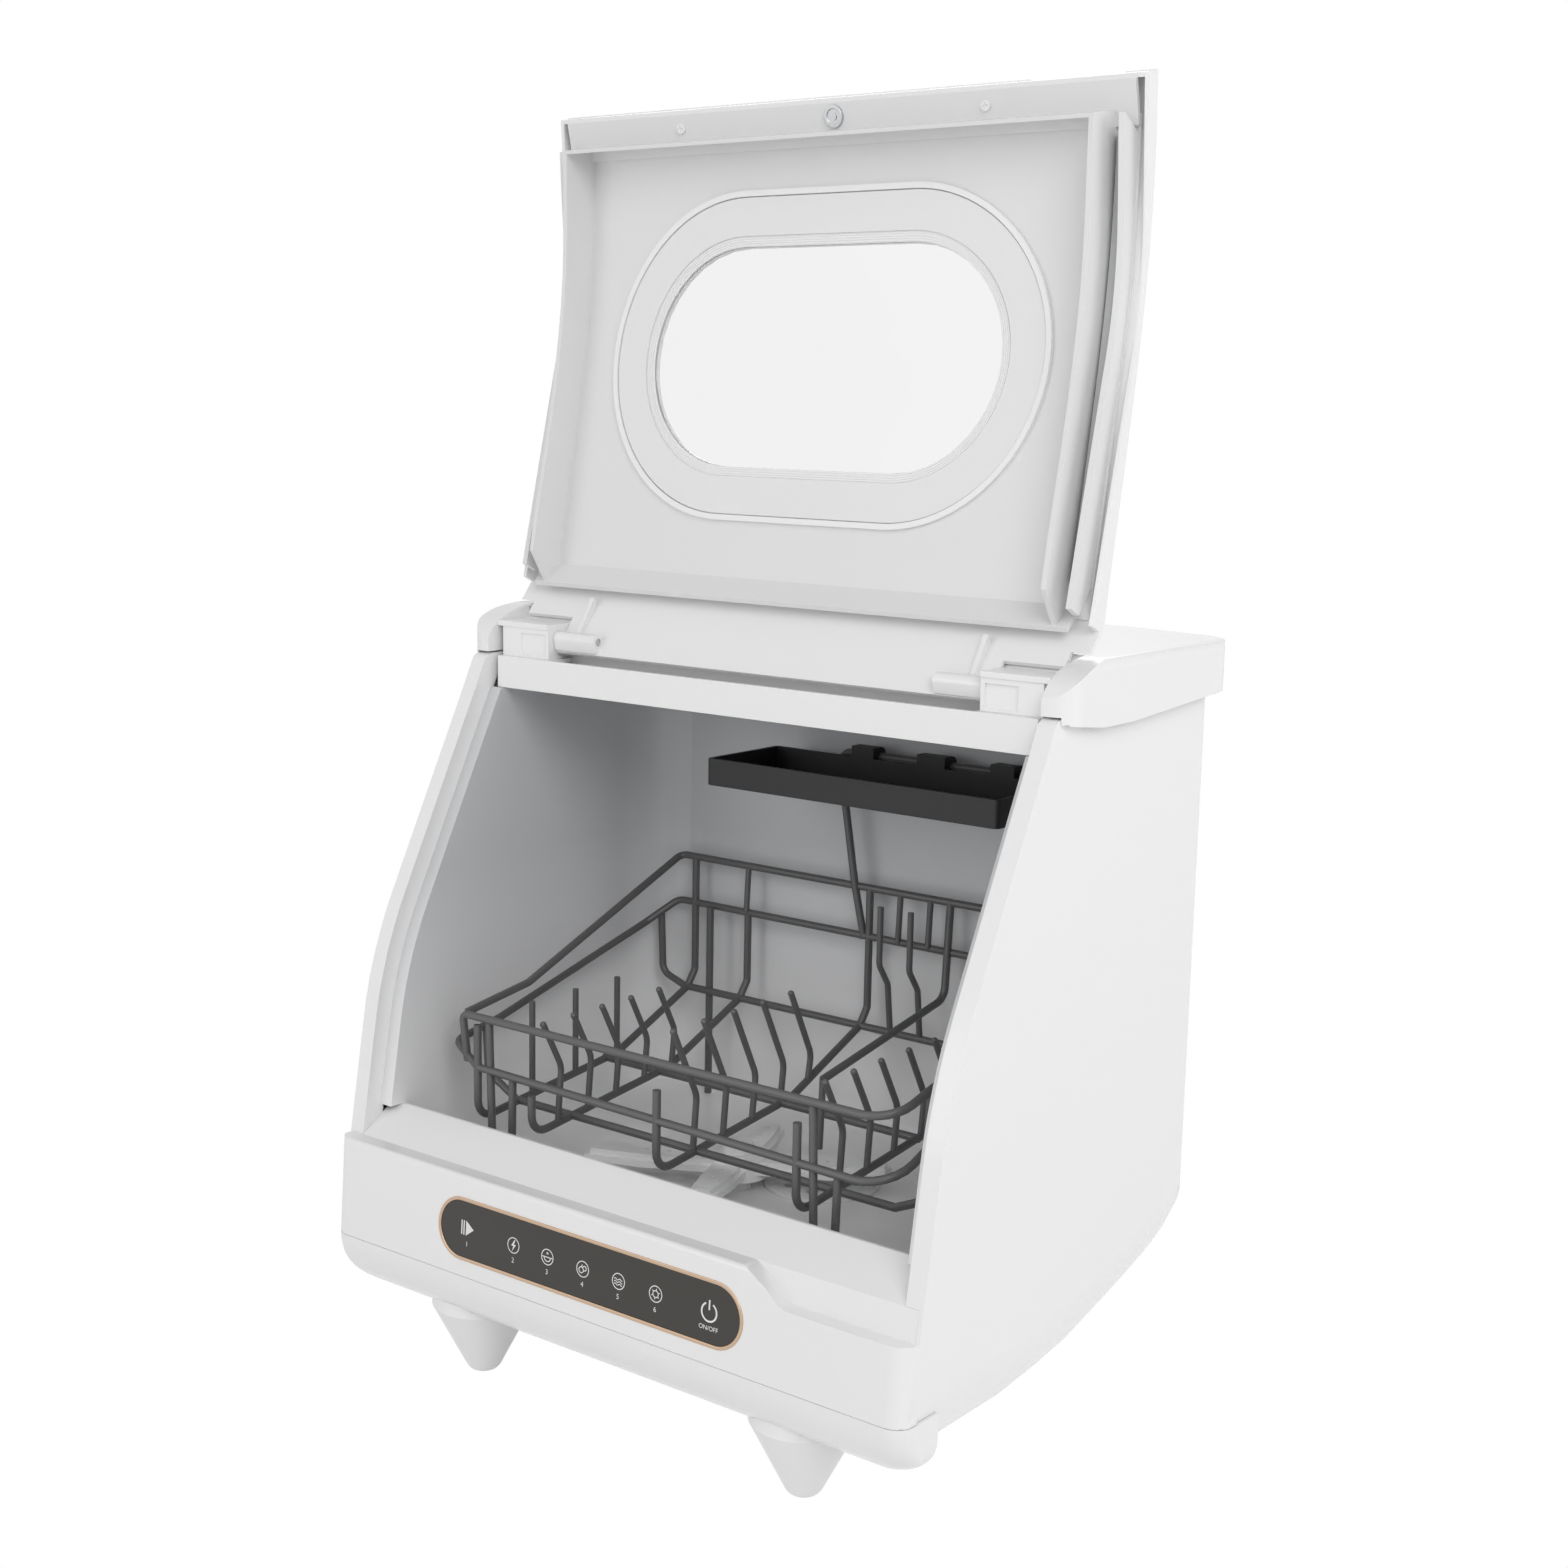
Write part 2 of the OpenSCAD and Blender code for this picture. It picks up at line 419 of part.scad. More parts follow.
// ---- rack and shelf ----------------------------------------------------------
function f3(a, b, c, r, n) =
  let(u = unit(a-b), v = unit(c-b), h = acos(max(-1, min(1, u*v)))/2)
  h > 88 ? [b] : let(q = b+unit(u+v)*r/sin(h), s = b+u*r/tan(h), e1 = unit(s-q), m = unit(b-q), e2 = unit(m-e1*(m*e1)), w = 180-2*h)
  [for (i = [0:n]) q+r*(cos(w*i/n)*e1+sin(w*i/n)*e2)];
function p3(P, R, n = 3) = concat([P[0]], [for (i = [1:1:len(P)-2]) each f3(P[i-1], P[i], P[i+1], R, n)], [P[len(P)-1]]);
module tube(P, r, b, n = 8) {
  m = len(P);
  T = [for (i = [0:m-1]) unit((i < m-1 ? unit(P[i+1]-P[i]) : [0, 0, 0])+(i > 0 ? unit(P[i]-P[i-1]) : [0, 0, 0]))];
  pts = [for (i = [0:m-1]) let(s = unit(cross(T[i], b)), t = cross(T[i], s)) for (k = [0:n-1]) P[i]+r*(cos(360*k/n)*s+sin(360*k/n)*t)];
  polyhedron(pts, concat([[for (k = [0:n-1]) k]],
    [for (i = [0:m-2]) for (k = [0:n-1]) [i*n+k, (i+1)*n+k, (i+1)*n+(k+1)%n, i*n+(k+1)%n]],
    [[for (k = [n-1:-1:0]) (m-1)*n+k]]));
}
module rod(a, b, r) { v = unit(b-a); hull() { translate(a) rotate([0, acos(v[2]), atan2(v[1], v[0])]) cylinder(r = r, h = 0.01, $fn = 8); translate(b) rotate([0, acos(v[2]), atan2(v[1], v[0])]) cylinder(r = r, h = 0.01, $fn = 8); } }
X = [1, 0, 0];
Y = [0, 1, 0];
Z = [0, 0, 1];
wires = [[-150, 209, 283], [-104, 173, 251], [-4, 198, 283], [98, 201, 283]];
function wz(y) = y < 190 ? 149+(y-72)*0.112 : 162.2+(y-190)*0.43;
module tine(x, y, top, lean) { tube(p3([[x, y, wz(y)], [x, y+3, 186], [x, y+3-lean, top]], 14, 2), tine_r, X, 6); }
module rack() {
  color([0.42, 0.42, 0.43]) {
    tube(p3([[-163, 66, 183], [-163, 62, 214], [152, 62, 214.5], [160, 84, 225], [160, 110, 226], [160, 266, 283], [150, 270, 283], [-163, 270, 283], [-163, 120, 222], [-163, 66, 214]], 5), rail_r, [0.1, 0.3, 1]);
    tube(p3([[-150, 62, 182], [146, 62, 177], [160, 78, 186], [160, 258, 250], [150, 270, 251], [-165, 270, 251], [-178, 250, 236], [-179, 110, 198], [-177, 70, 192], [-150, 62, 182]], 8), rail_r, [0.1, 0.2, 1]);
    for (w = wires) tube(p3([[w[0], 62, w[1]], [w[0], 62, 149], [w[0], 76, 149.5], [w[0], 190, 162.2], [w[0], 262, 193], [w[0], 270, 204], [w[0], 270, w[2]]], 7, 3), rail_r, X);
    tube(p3([[58, 139, 199], [58, 266, 222], [58, 270, 283]], 10), rail_r, X);
    tube(p3([[58, 139, 199], [58, 137, 157]], 4), tine_r, X);
    rod([-152, 98, 152], [140, 98, 152], rail_r);
    rod([-152, 180, 161.3], [100, 180, 161.3], rail_r);
    rod([-152, 262, 193.2], [140, 262, 193.2], rail_r);
    tube(p3([[140, 98, 152], [158, 98, 160], [160, 100, 224]], 9), rail_r, Y);
    tube(p3([[140, 262, 193.2], [158, 262, 200], [160, 262, 280]], 9), rail_r, Y);
    tube(p3([[-152, 98, 152], [-177, 98, 165], [-179, 98, 196]], 9), rail_r, Y);
    tube(p3([[-152, 262, 193.2], [-172, 262, 200], [-174, 262, 243]], 9), rail_r, Y);
    // legs
    for (s = [[-142, -139, -123, -122, 212], [107, 109.5, 123, 125, 214]]) tube(p3([[s[0], 64, s[4]], [s[1], 64, 120.8], [s[2], 64, 120.8], [s[3], 64, 179]], 6), rail_r, Y);
    for (x = [-132, 124]) rod([x, 264, 251], [x, 264, 118.3], rail_r);
    rod([-139, 64, 200], [-139, 64, 190], tine_r);
    // plate tines
    for (y = [95, 123, 151, 179, 207]) tine(-4, y, tine_top, 22);
    for (y = [102, 129, 156, 184, 211]) tine(98, y, tine_top-12, 18);
    for (y = [85, 112, 138, 165, 192]) tine(-104, y, 216, 16);
    for (y = [110, 150, 190]) rod([-150, y, wz(y)], [-150, y, 214], tine_r);
    for (x = [43, 20]) tube(p3([[x, 262, 193.2], [x, 258, 226], [x, 248, 240], [x, 248, 278]], 8), tine_r, X);
    // holder of the shelf
    tube(p3([[-8, 270, 249], [-15, 268, 285], [-24, 268, 337], [-28, 268, 370], [-18, 268, 370], [148, 268, 370], [152, 268, 340], [150, 270, 283]], 7), rail_r, Y);
    for (x = [-104, 20, 43]) rod([x, 268, 251], [x, 270, 284], tine_r);
    rod([98, 100, 152], [98, 98, 152.2], rail_r);
  }
}
module shelf() {
  color([0.12, 0.12, 0.12]) {
    difference() {
      zp(rp([[-76, 190], [140, 190], [140, 262], [-76, 262]], [3, 3, 3, 3], 3), 352, 369);
      bx(-73.5, 137.5, 192.5, 259.5, 354.5, 380);
      for (x = [-66:14:130]) for (y = [198, 219, 240]) bx(x, x+6, y, y+15, 350, 356);
    }
    for (x = [[-14, 3], [36, 57], [90, 107]]) difference() {
      union() { cx(6, x[0], x[1], 268, 370); bx(x[0], x[1], 259.5, 268, 364, 376); }
      cx(rail_r+0.1, x[0]-1, x[1]+1, 268, 370);
    }
  }
}

placed() base_tray();
placed() front_panel();
placed() body_shell();
placed() tub();
placed() header_beam();
placed() top_cover();
placed() hinge_bracket_left();
placed() hinge_bracket_right();
placed() hinge_pin_left();
placed() hinge_pin_right();
placed() foot_front_left();
placed() foot_front_right();
placed() foot_rear_left();
placed() foot_rear_right();
placed() touch_lens();
placed() trim_ring();
placed() control_board();
placed() lid_sensor();
placed() power_board();
placed() sump();
placed() filter_cup();
placed() spray_shaft();
placed() spray_arm();
placed() hub_nut();
placed() wash_pump();
placed() pump_impeller();
placed() drain_pump();
placed() heater();
placed() wash_hose();
placed() drain_hose();
placed() inlet_hose();
placed() water_tank();
placed() fan_housing();
placed() fan_impeller();
placed() air_duct();
placed() rear_grille();
placed() drain_outlet();
placed() water_inlet();
placed() cable_gland();
placed() lid_shell();
placed() lid_liner();
placed() lid_window();
placed() window_ring();
placed() window_gasket();
placed() lid_seal();
placed() catch_disc();
placed() lid_screws();
placed() rack();
placed() shelf();
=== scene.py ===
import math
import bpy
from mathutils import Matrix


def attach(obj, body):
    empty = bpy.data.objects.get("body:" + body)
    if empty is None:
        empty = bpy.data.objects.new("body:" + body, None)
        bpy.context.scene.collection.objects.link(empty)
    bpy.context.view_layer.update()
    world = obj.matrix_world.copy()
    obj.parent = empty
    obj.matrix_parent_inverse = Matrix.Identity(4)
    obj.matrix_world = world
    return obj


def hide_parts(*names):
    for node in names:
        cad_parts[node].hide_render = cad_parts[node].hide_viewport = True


bl_info = {
    "name": "Countertop Dishwasher",
    "version": (1, 0, 0),
    "blender": (4, 5, 0),
    "location": "View3D > Sidebar > Dishwasher",
    "description": "White countertop dishwasher with a lift-up curved lid, a wire rack and a folding shelf",
    "category": "Object",
}

import bpy
from mathutils import Matrix, Vector

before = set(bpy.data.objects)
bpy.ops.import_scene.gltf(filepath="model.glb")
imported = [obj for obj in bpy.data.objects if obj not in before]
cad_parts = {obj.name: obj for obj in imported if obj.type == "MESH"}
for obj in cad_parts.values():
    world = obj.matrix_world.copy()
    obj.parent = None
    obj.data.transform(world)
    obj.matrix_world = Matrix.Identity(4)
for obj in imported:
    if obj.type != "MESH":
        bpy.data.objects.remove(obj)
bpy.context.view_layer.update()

MM = 0.001

# Places and sizes of the drawing, in millimetres: x from the middle, y from the front, z from the table
MIDDLE = 157.5  # half the depth
HALF = 215.0  # half the width of the body
SEAM = 78.4  # height of the seam between chin and front panel
SEAM_GAP = 0.35  # width of that seam
CORNER = 12.0  # radius of the upright front corners
LEAN = 3.88  # degrees that the front panel leans back
FRONT_TOP = 138.0  # where its upright corners end
CHIN_FLOOR = 43.0  # lowest height of the chin
CHIN_DEPTH = 33.0  # depth of the chin, and radius of its nose
CHIN_SIDE = 20.0  # radius of its lower side edges
COVER_HALF = 222.0  # half the width of the top cover
COVER_FRONT = 126.0  # where the two ends of the top cover begin
HINGE = (144.0, 441.0)  # depth and height of the lid's axis
LID_OPEN = 166.6  # degrees from the closed lid to the open one
WINDOW_MIDDLE = (50.9, 283.3)  # depth and height of the window's middle on the closed lid
WINDOW_TILT = 68.2  # degrees that the window stands up from level

# The touch panel, in millimetres: its middle in the drawing, the rest on its own plane
PANEL_MIDDLE = (-6, 1.94, 107)
PANEL_STRAIGHT = 97.0  # half the length of its straight edges
LENS_RADIUS = 16.9
TRIM_RADIUS = 19.0
INK = 0.06  # thickness of the printed symbols
ICONS = (-92.1, -54.3, -27.3, 0.1, 27.1, 54.4)  # start and pause, then five programmes
POWER = 92.5  # the power symbol
NUMBER_LINE = -8.6  # height of the numbers under the symbols

RIM_ANGLE = 50  # only edges sharper than this are rounded on cut pieces, in degrees
GRAIN_DEPTH = 0.0002  # depth of the moulded grain, in metres
HEAD_BASE, RECESS, HEAD_TOP = 17.6, 18.5, 19.2  # depths of the lid's small metal heads, drawn closed


# ---- sizes and colours a user may change ----


class DW_HousingSettings(bpy.types.PropertyGroup):
    edge_round: bpy.props.FloatProperty(
        name="Edge rounding",
        description="Radius of the softened edges of the housing mouldings",
        default=0.0007,
        min=0.0002, max=0.002,
        unit="LENGTH",
    )
    shell_colour: bpy.props.FloatVectorProperty(
        name="Housing white",
        description="Colour of the glossy outer mouldings",
        subtype="COLOR", size=3,
        default=(0.85, 0.85, 0.85),
        min=0, max=1,
    )
    # Painted shade: the tub's white is darkened to a grey that stands for the shade inside the tub
    tub_colour: bpy.props.FloatVectorProperty(
        name="Tub white",
        description="Colour of the satin mouldings inside",
        subtype="COLOR", size=3,
        default=(0.62, 0.628, 0.64),
        min=0, max=1,
    )


class DW_LidSettings(bpy.types.PropertyGroup):
    window_straight: bpy.props.FloatProperty(
        name="Window half straight",
        description="Half the length of the straight edges of the window",
        default=0.061,
        min=0.04, max=0.07,
        unit="LENGTH",
    )
    window_radius: bpy.props.FloatProperty(
        name="Window end radius",
        description="Radius of the round ends of the ring's inner edge",
        default=0.0725,
        min=0.05, max=0.08,
        unit="LENGTH",
    )
    ring_colour: bpy.props.FloatVectorProperty(
        name="Window ring grey",
        description="Colour of the pale grey ring round the window",
        subtype="COLOR", size=3,
        default=(0.80, 0.80, 0.80),
        min=0, max=1,
    )


class DW_RackSettings(bpy.types.PropertyGroup):
    rail: bpy.props.FloatProperty(
        name="Frame wire radius",
        description="Radius of the coated frame wires",
        default=0.0025,
        min=0.0015, max=0.004,
        unit="LENGTH",
    )
    tine: bpy.props.FloatProperty(
        name="Tine radius",
        description="Radius of the thin upright wires of the rack",
        default=0.0020,
        min=0.001, max=0.003,
        unit="LENGTH",
    )
    wire_colour: bpy.props.FloatVectorProperty(
        name="Wire coating",
        description="Colour of the grey coating on the rack",
        subtype="COLOR", size=3,
        default=(0.11, 0.11, 0.112),
        min=0, max=1,
    )
    shelf_colour: bpy.props.FloatVectorProperty(
        name="Shelf black",
        description="Colour of the folding shelf",
        subtype="COLOR", size=3,
        default=(0.012, 0.012, 0.014),
        min=0, max=1,
    )


class DW_PanelSettings(bpy.types.PropertyGroup):
    lens_colour: bpy.props.FloatVectorProperty(
        name="Touch panel dark",
        description="Colour of the smoked touch panel",
        subtype="COLOR", size=3,
        default=(0.027, 0.023, 0.018),
        min=0, max=1,
    )
    trim_colour: bpy.props.FloatVectorProperty(
        name="Trim bronze",
        description="Colour of the thin metal ring round the touch panel",
        subtype="COLOR", size=3,
        default=(0.58, 0.42, 0.30),
        min=0, max=1,
    )
    symbol_line: bpy.props.FloatProperty(
        name="Symbol line width",
        description="Width of the printed symbol lines",
        default=0.00055,
        min=0.0003, max=0.0012,
        unit="LENGTH",
    )


class DW_StageSettings(bpy.types.PropertyGroup):
    focal: bpy.props.FloatProperty(
        name="Focal length",
        description="Focal length of the camera in millimetres",
        default=50.6,
        min=20, max=120,
    )
    lamp_level: bpy.props.FloatProperty(
        name="Lamp level",
        description="Level of all studio lamps together",
        default=0.78,
        min=0.2, max=3,
    )


# ---- points and outlines ----


def place(x, y, z):
    """A point of the drawing, in millimetres from the front, as metres in the frame."""
    return Vector((x * MM, (y - MIDDLE) * MM, z * MM))

def fillet(a, b, c, radius, steps):
    """Points of the arc that rounds corner b between a and c, in any dimension."""
    a, b, c = Vector(a), Vector(b), Vector(c)
    to_a, to_c = (a - b).normalized(), (c - b).normalized()
    half = math.acos(max(-1.0, min(1.0, to_a.dot(to_c)))) / 2
    if half > math.radians(88.5):
        return [b]  # almost straight
    centre = b + (to_a + to_c).normalized() * radius / math.sin(half)
    first = b + to_a * radius / math.tan(half)
    start = (first - centre).normalized()
    middle = (b - centre).normalized()
    across = (middle - start * middle.dot(start)).normalized()
    sweep = math.pi - 2 * half
    points = []
    for i in range(steps + 1):
        turn = sweep * i / steps
        points.append(centre + (start * math.cos(turn) + across * math.sin(turn)) * radius)
    return points


def rectangle(x, y, wide, high):
    """Corners of a rectangle, from its middle and half its sizes."""
    return [(x - wide, y - high), (x + wide, y - high), (x + wide, y + high), (x - wide, y + high)]


def route(points, bends, steps=6):
    """An open path with its inner corners bent, to one radius or to a radius each."""
    out = [Vector(points[0])]
    if not isinstance(bends, (list, tuple)):
        bends = [bends] * (len(points) - 2)
    for i, bend in enumerate(bends, 1):
        out += fillet(points[i - 1], points[i], points[i + 1], bend, steps)
    return out + [Vector(points[-1])]


def stadium(radius, half, steps=24):
    """A round-ended outline, long along its first direction."""
    out = []
    for side, start in ((1, -90), (-1, 90)):
        for i in range(steps + 1):
            t = math.radians(start + 180 * i / steps)
            out.append(Vector((side * half + radius * math.cos(t), radius * math.sin(t))))
    return out


def smooth_line(points, steps):
    """A smooth curve through the points."""
    out = []
    last = len(points) - 1
    for i in range(last):
        a, b = Vector(points[max(i - 1, 0)]), Vector(points[i])
        c, d = Vector(points[i + 1]), Vector(points[min(i + 2, last)])
        for k in range(steps):
            t = k / steps
            bend = (2 * a - 5 * b + 4 * c - d) * t * t + (3 * b - a - 3 * c + d) * t ** 3
            out.append(0.5 * (2 * b + (c - a) * t + bend))
    return out + [Vector(points[last])]


def inward(points, gap):
    """The open line shifted inwards by the gap."""
    out = []
    last = len(points) - 1
    for i, p in enumerate(points):
        t = (points[min(i + 1, last)] - points[max(i - 1, 0)]).normalized()
        out.append(p + Vector((t[1], -t[0])) * gap)
    return out


# The lid's outer line seen from the side, drawn closed
LID_SWEEP = [(6.4, 143.2), (14.5, 183.5), (27.9, 231.2), (45.1, 278.5)]
LID_SWEEP += [(64.7, 325.2), (80.2, 360.6), (95.8, 396)]
LID_LINE = (
    [Vector((5.6, 139.4))]
    + smooth_line(LID_SWEEP, 8)
    + fillet((95.8, 396), (103.5, 415.5), (146.8, 450), 20, 10)
    + [Vector((146.8, 450))]
)


# ---- modelling helpers ----


def only(obj):
    """Selects one object and makes it active."""
    if bpy.context.object and bpy.context.object.mode != "OBJECT":
        bpy.ops.object.mode_set(mode="OBJECT")
    bpy.ops.object.select_all(action="DESELECT")
    if obj is not None:
        obj.select_set(True)
        bpy.context.view_layer.objects.active = obj


def open_mesh():
    """Opens the active mesh for editing, with all of it selected."""
    bpy.ops.object.mode_set(mode="EDIT")
    bpy.ops.mesh.select_all(action="SELECT")


def close_mesh():
    """Turns all normals of the edited mesh outwards and closes it."""
    bpy.ops.mesh.select_all(action="SELECT")
    bpy.ops.mesh.normals_make_consistent(inside=False)
    bpy.ops.object.mode_set(mode="OBJECT")


def extruded(name, points, shift):
    """A filled ring moved onto an outline and extruded by the shift."""
    only(None)
    bpy.ops.mesh.primitive_circle_add(vertices=len(points), radius=0.01, fill_type="NGON")
    obj = bpy.context.object
    obj.name = obj.data.name = name
    for vertex, point in zip(obj.data.vertices, points):
        vertex.co = point
    open_mesh()
    bpy.ops.mesh.extrude_region_move(TRANSFORM_OT_translate={"value": shift})
    close_mesh()
    return obj


def block(name, outline, along, start, end):
    """An outline extruded along one direction of the drawing, from start to end."""
    put = {
        "x": lambda p, d: place(d, p[0], p[1]),
        "y": lambda p, d: place(p[0], d, p[1]),
        "z": lambda p, d: place(p[0], p[1], d),
    }[along]
    shift = put(outline[0], end) - put(outline[0], start)
    return extruded(name, [put(p, start) for p in outline], shift)


def loft(name, rings):
    """Rings of equally many points joined into one closed skin."""
    count = len(rings[0])
    only(None)
    bpy.ops.mesh.primitive_grid_add(x_subdivisions=count, y_subdivisions=len(rings) - 1)
    obj = bpy.context.object
    obj.name = obj.data.name = name
    for j, ring in enumerate(rings):
        for i in range(count + 1):
            obj.data.vertices[j * (count + 1) + i].co = ring[i % count]
    open_mesh()
    bpy.ops.mesh.remove_doubles(threshold=1e-6)
    bpy.ops.mesh.fill_holes(sides=0)
    close_mesh()
    return obj


def rod(name, radius, start, end, sides=32):
    """A cylinder between two points given in millimetres."""
    a, b = place(*start), place(*end)
    only(None)
    bpy.ops.mesh.primitive_cylinder_add(vertices=sides, radius=radius * MM, depth=(b - a).length)
    obj = bpy.context.object
    obj.name = obj.data.name = name
    turn = Vector((0, 0, 1)).rotation_difference(b - a).to_matrix().to_4x4()
    obj.data.transform(Matrix.Translation((a + b) / 2) @ turn)
    return obj


def carve(obj, tool, how="DIFFERENCE"):
    """Applies a boolean with the tool and deletes the tool."""
    only(obj)
    mod = obj.modifiers.new("carve", "BOOLEAN")
    mod.operation, mod.solver, mod.object = how, "EXACT", tool
    bpy.ops.object.modifier_apply(modifier=mod.name)
    bpy.data.objects.remove(tool)
    return obj


def soften(obj, width, segments=2, angle=32):
    """Rounds every edge sharper than the angle."""
    only(obj)
    open_mesh()
    bpy.ops.mesh.remove_doubles(threshold=3e-6)
    bpy.ops.mesh.dissolve_limited(angle_limit=math.radians(0.4))
    bpy.ops.object.mode_set(mode="OBJECT")
    mod = obj.modifiers.new("soften", "BEVEL")
    mod.width, mod.segments = width, segments
    mod.limit_method, mod.angle_limit = "ANGLE", math.radians(angle)
    mod.use_clamp_overlap = True
    bpy.ops.object.modifier_apply(modifier=mod.name)
    return obj


def unite(name, parts):
    """Joins pieces into one object."""
    only(parts[0])
    for part in parts[1:]:
        part.select_set(True)
    bpy.ops.object.join()
    obj = bpy.context.object
    obj.name = obj.data.name = name
    return obj


def moulding(node, name, width):
    """A merged copy of a drawn solid with its edges softened."""
    only(None)
    obj = bpy.data.objects.new(name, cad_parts[node].data.copy())
    bpy.context.scene.collection.objects.link(obj)
    only(obj)
    if obj.data.has_custom_normals:
        bpy.ops.mesh.customdata_custom_splitnormals_clear()
    return soften(obj, width)


def wire(name, points, radius, bends):
    """A round wire along a path given in millimetres, with bent corners and closed ends."""
    path = [place(*p) for p in route(points, bends)]
    curve = bpy.data.curves.new(name, "CURVE")
    curve.dimensions = "3D"
    spline = curve.splines.new("POLY")
    spline.points.add(len(path) - 1)
    for point, co in zip(spline.points, path):
        point.co = (*co, 1)
    curve.bevel_depth = radius
    curve.bevel_resolution = 3
    curve.use_fill_caps = True
    obj = bpy.data.objects.new(name, curve)
    bpy.context.scene.collection.objects.link(obj)
    only(obj)
    bpy.ops.object.convert(target="MESH")
    obj = bpy.context.object
    open_mesh()
    bpy.ops.mesh.remove_doubles(threshold=1e-6)
    close_mesh()
    return obj


def swing(obj):
    """Turns a piece drawn on the closed lid about the hinge, to the open lid."""
    pivot = Matrix.Translation(place(0, *HINGE))
    obj.data.transform(pivot @ Matrix.Rotation(math.radians(-LID_OPEN), 4, "X") @ pivot.inverted())
    return obj


def complete(obj, finish, slot, body, *nodes, angle=33, weighted=True):
    """Shades the piece, gives it its finish and hands it to its body."""
    only(obj)
    bpy.ops.object.shade_smooth_by_angle(angle=math.radians(angle))
    if weighted:
        mod = obj.modifiers.new("even", "WEIGHTED_NORMAL")
        mod.keep_sharp = True
        bpy.ops.object.modifier_apply(modifier=mod.name)
    obj.data.materials.clear()
    obj.data.materials.append(FINISH[finish])
    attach(obj, body)
    if nodes:
        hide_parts(*nodes)
    return obj


# ---- finishes ----

FINISH = {}


def calculated(tree, operation, *values):
    """The result of a maths node fed by the sockets."""
    node = tree.nodes.new("ShaderNodeMath")
    node.operation = operation
    for value, socket in zip(values, node.inputs):
        tree.links.new(value, socket)
    return node.outputs[0]


def surface_group():
    """Node group: fine moulded grain, slow colour drift and a spread of roughness."""
    group = bpy.data.node_groups.new("moulded surface", "ShaderNodeTree")
    for name, kind, value in (
        ("Colour", "NodeSocketColor", (0.8, 0.8, 0.8, 1)),
        ("Drift Colour", "NodeSocketColor", (0.7, 0.7, 0.7, 1)),
        ("Drift Amount", "NodeSocketFloat", 0.1),
        ("Drift Scale", "NodeSocketFloat", 9.0),
        ("Grain Scale", "NodeSocketFloat", 900.0),
        ("Grain Stretch", "NodeSocketFloat", 1.0),
        ("Roughness", "NodeSocketFloat", 0.3),
        ("Roughness Spread", "NodeSocketFloat", 0.05),
    ):
        socket = group.interface.new_socket(name=name, in_out="INPUT", socket_type=kind)
        socket.default_value = value
    for name, kind in (
        ("Colour", "NodeSocketColor"),
        ("Roughness", "NodeSocketFloat"),
        ("Height", "NodeSocketFloat"),
    ):
        group.interface.new_socket(name=name, in_out="OUTPUT", socket_type=kind)
    nodes, links = group.nodes, group.links
    given, out = nodes.new("NodeGroupInput"), nodes.new("NodeGroupOutput")
    coord = nodes.new("ShaderNodeTexCoord")
    drift = nodes.new("ShaderNodeTexNoise")
    drift.inputs["Detail"].default_value = 3
    links.new(coord.outputs["Object"], drift.inputs["Vector"])
    links.new(given.outputs["Drift Scale"], drift.inputs["Scale"])
    amount = calculated(group, "MULTIPLY", drift.outputs["Fac"], given.outputs["Drift Amount"])
    mix = nodes.new("ShaderNodeMix")
    mix.data_type = "RGBA"
    links.new(amount, mix.inputs["Factor"])
    links.new(given.outputs["Colour"], mix.inputs["A"])
    links.new(given.outputs["Drift Colour"], mix.inputs["B"])
    links.new(mix.outputs["Result"], out.inputs["Colour"])
    stretch = nodes.new("ShaderNodeCombineXYZ")
    links.new(given.outputs["Grain Stretch"], stretch.inputs["X"])
    stretch.inputs["Y"].default_value = 1
    stretch.inputs["Z"].default_value = 1
    scaled = nodes.new("ShaderNodeVectorMath")
    scaled.operation = "MULTIPLY"
    links.new(coord.outputs["Object"], scaled.inputs[0])
    links.new(stretch.outputs[0], scaled.inputs[1])
    grain = nodes.new("ShaderNodeTexNoise")
    grain.inputs["Detail"].default_value = 2
    links.new(scaled.outputs[0], grain.inputs["Vector"])
    links.new(given.outputs["Grain Scale"], grain.inputs["Scale"])
    links.new(grain.outputs["Fac"], out.inputs["Height"])
    spread = (grain.outputs["Fac"], given.outputs["Roughness Spread"], given.outputs["Roughness"])
    links.new(calculated(group, "MULTIPLY_ADD", *spread), out.inputs["Roughness"])
    return group


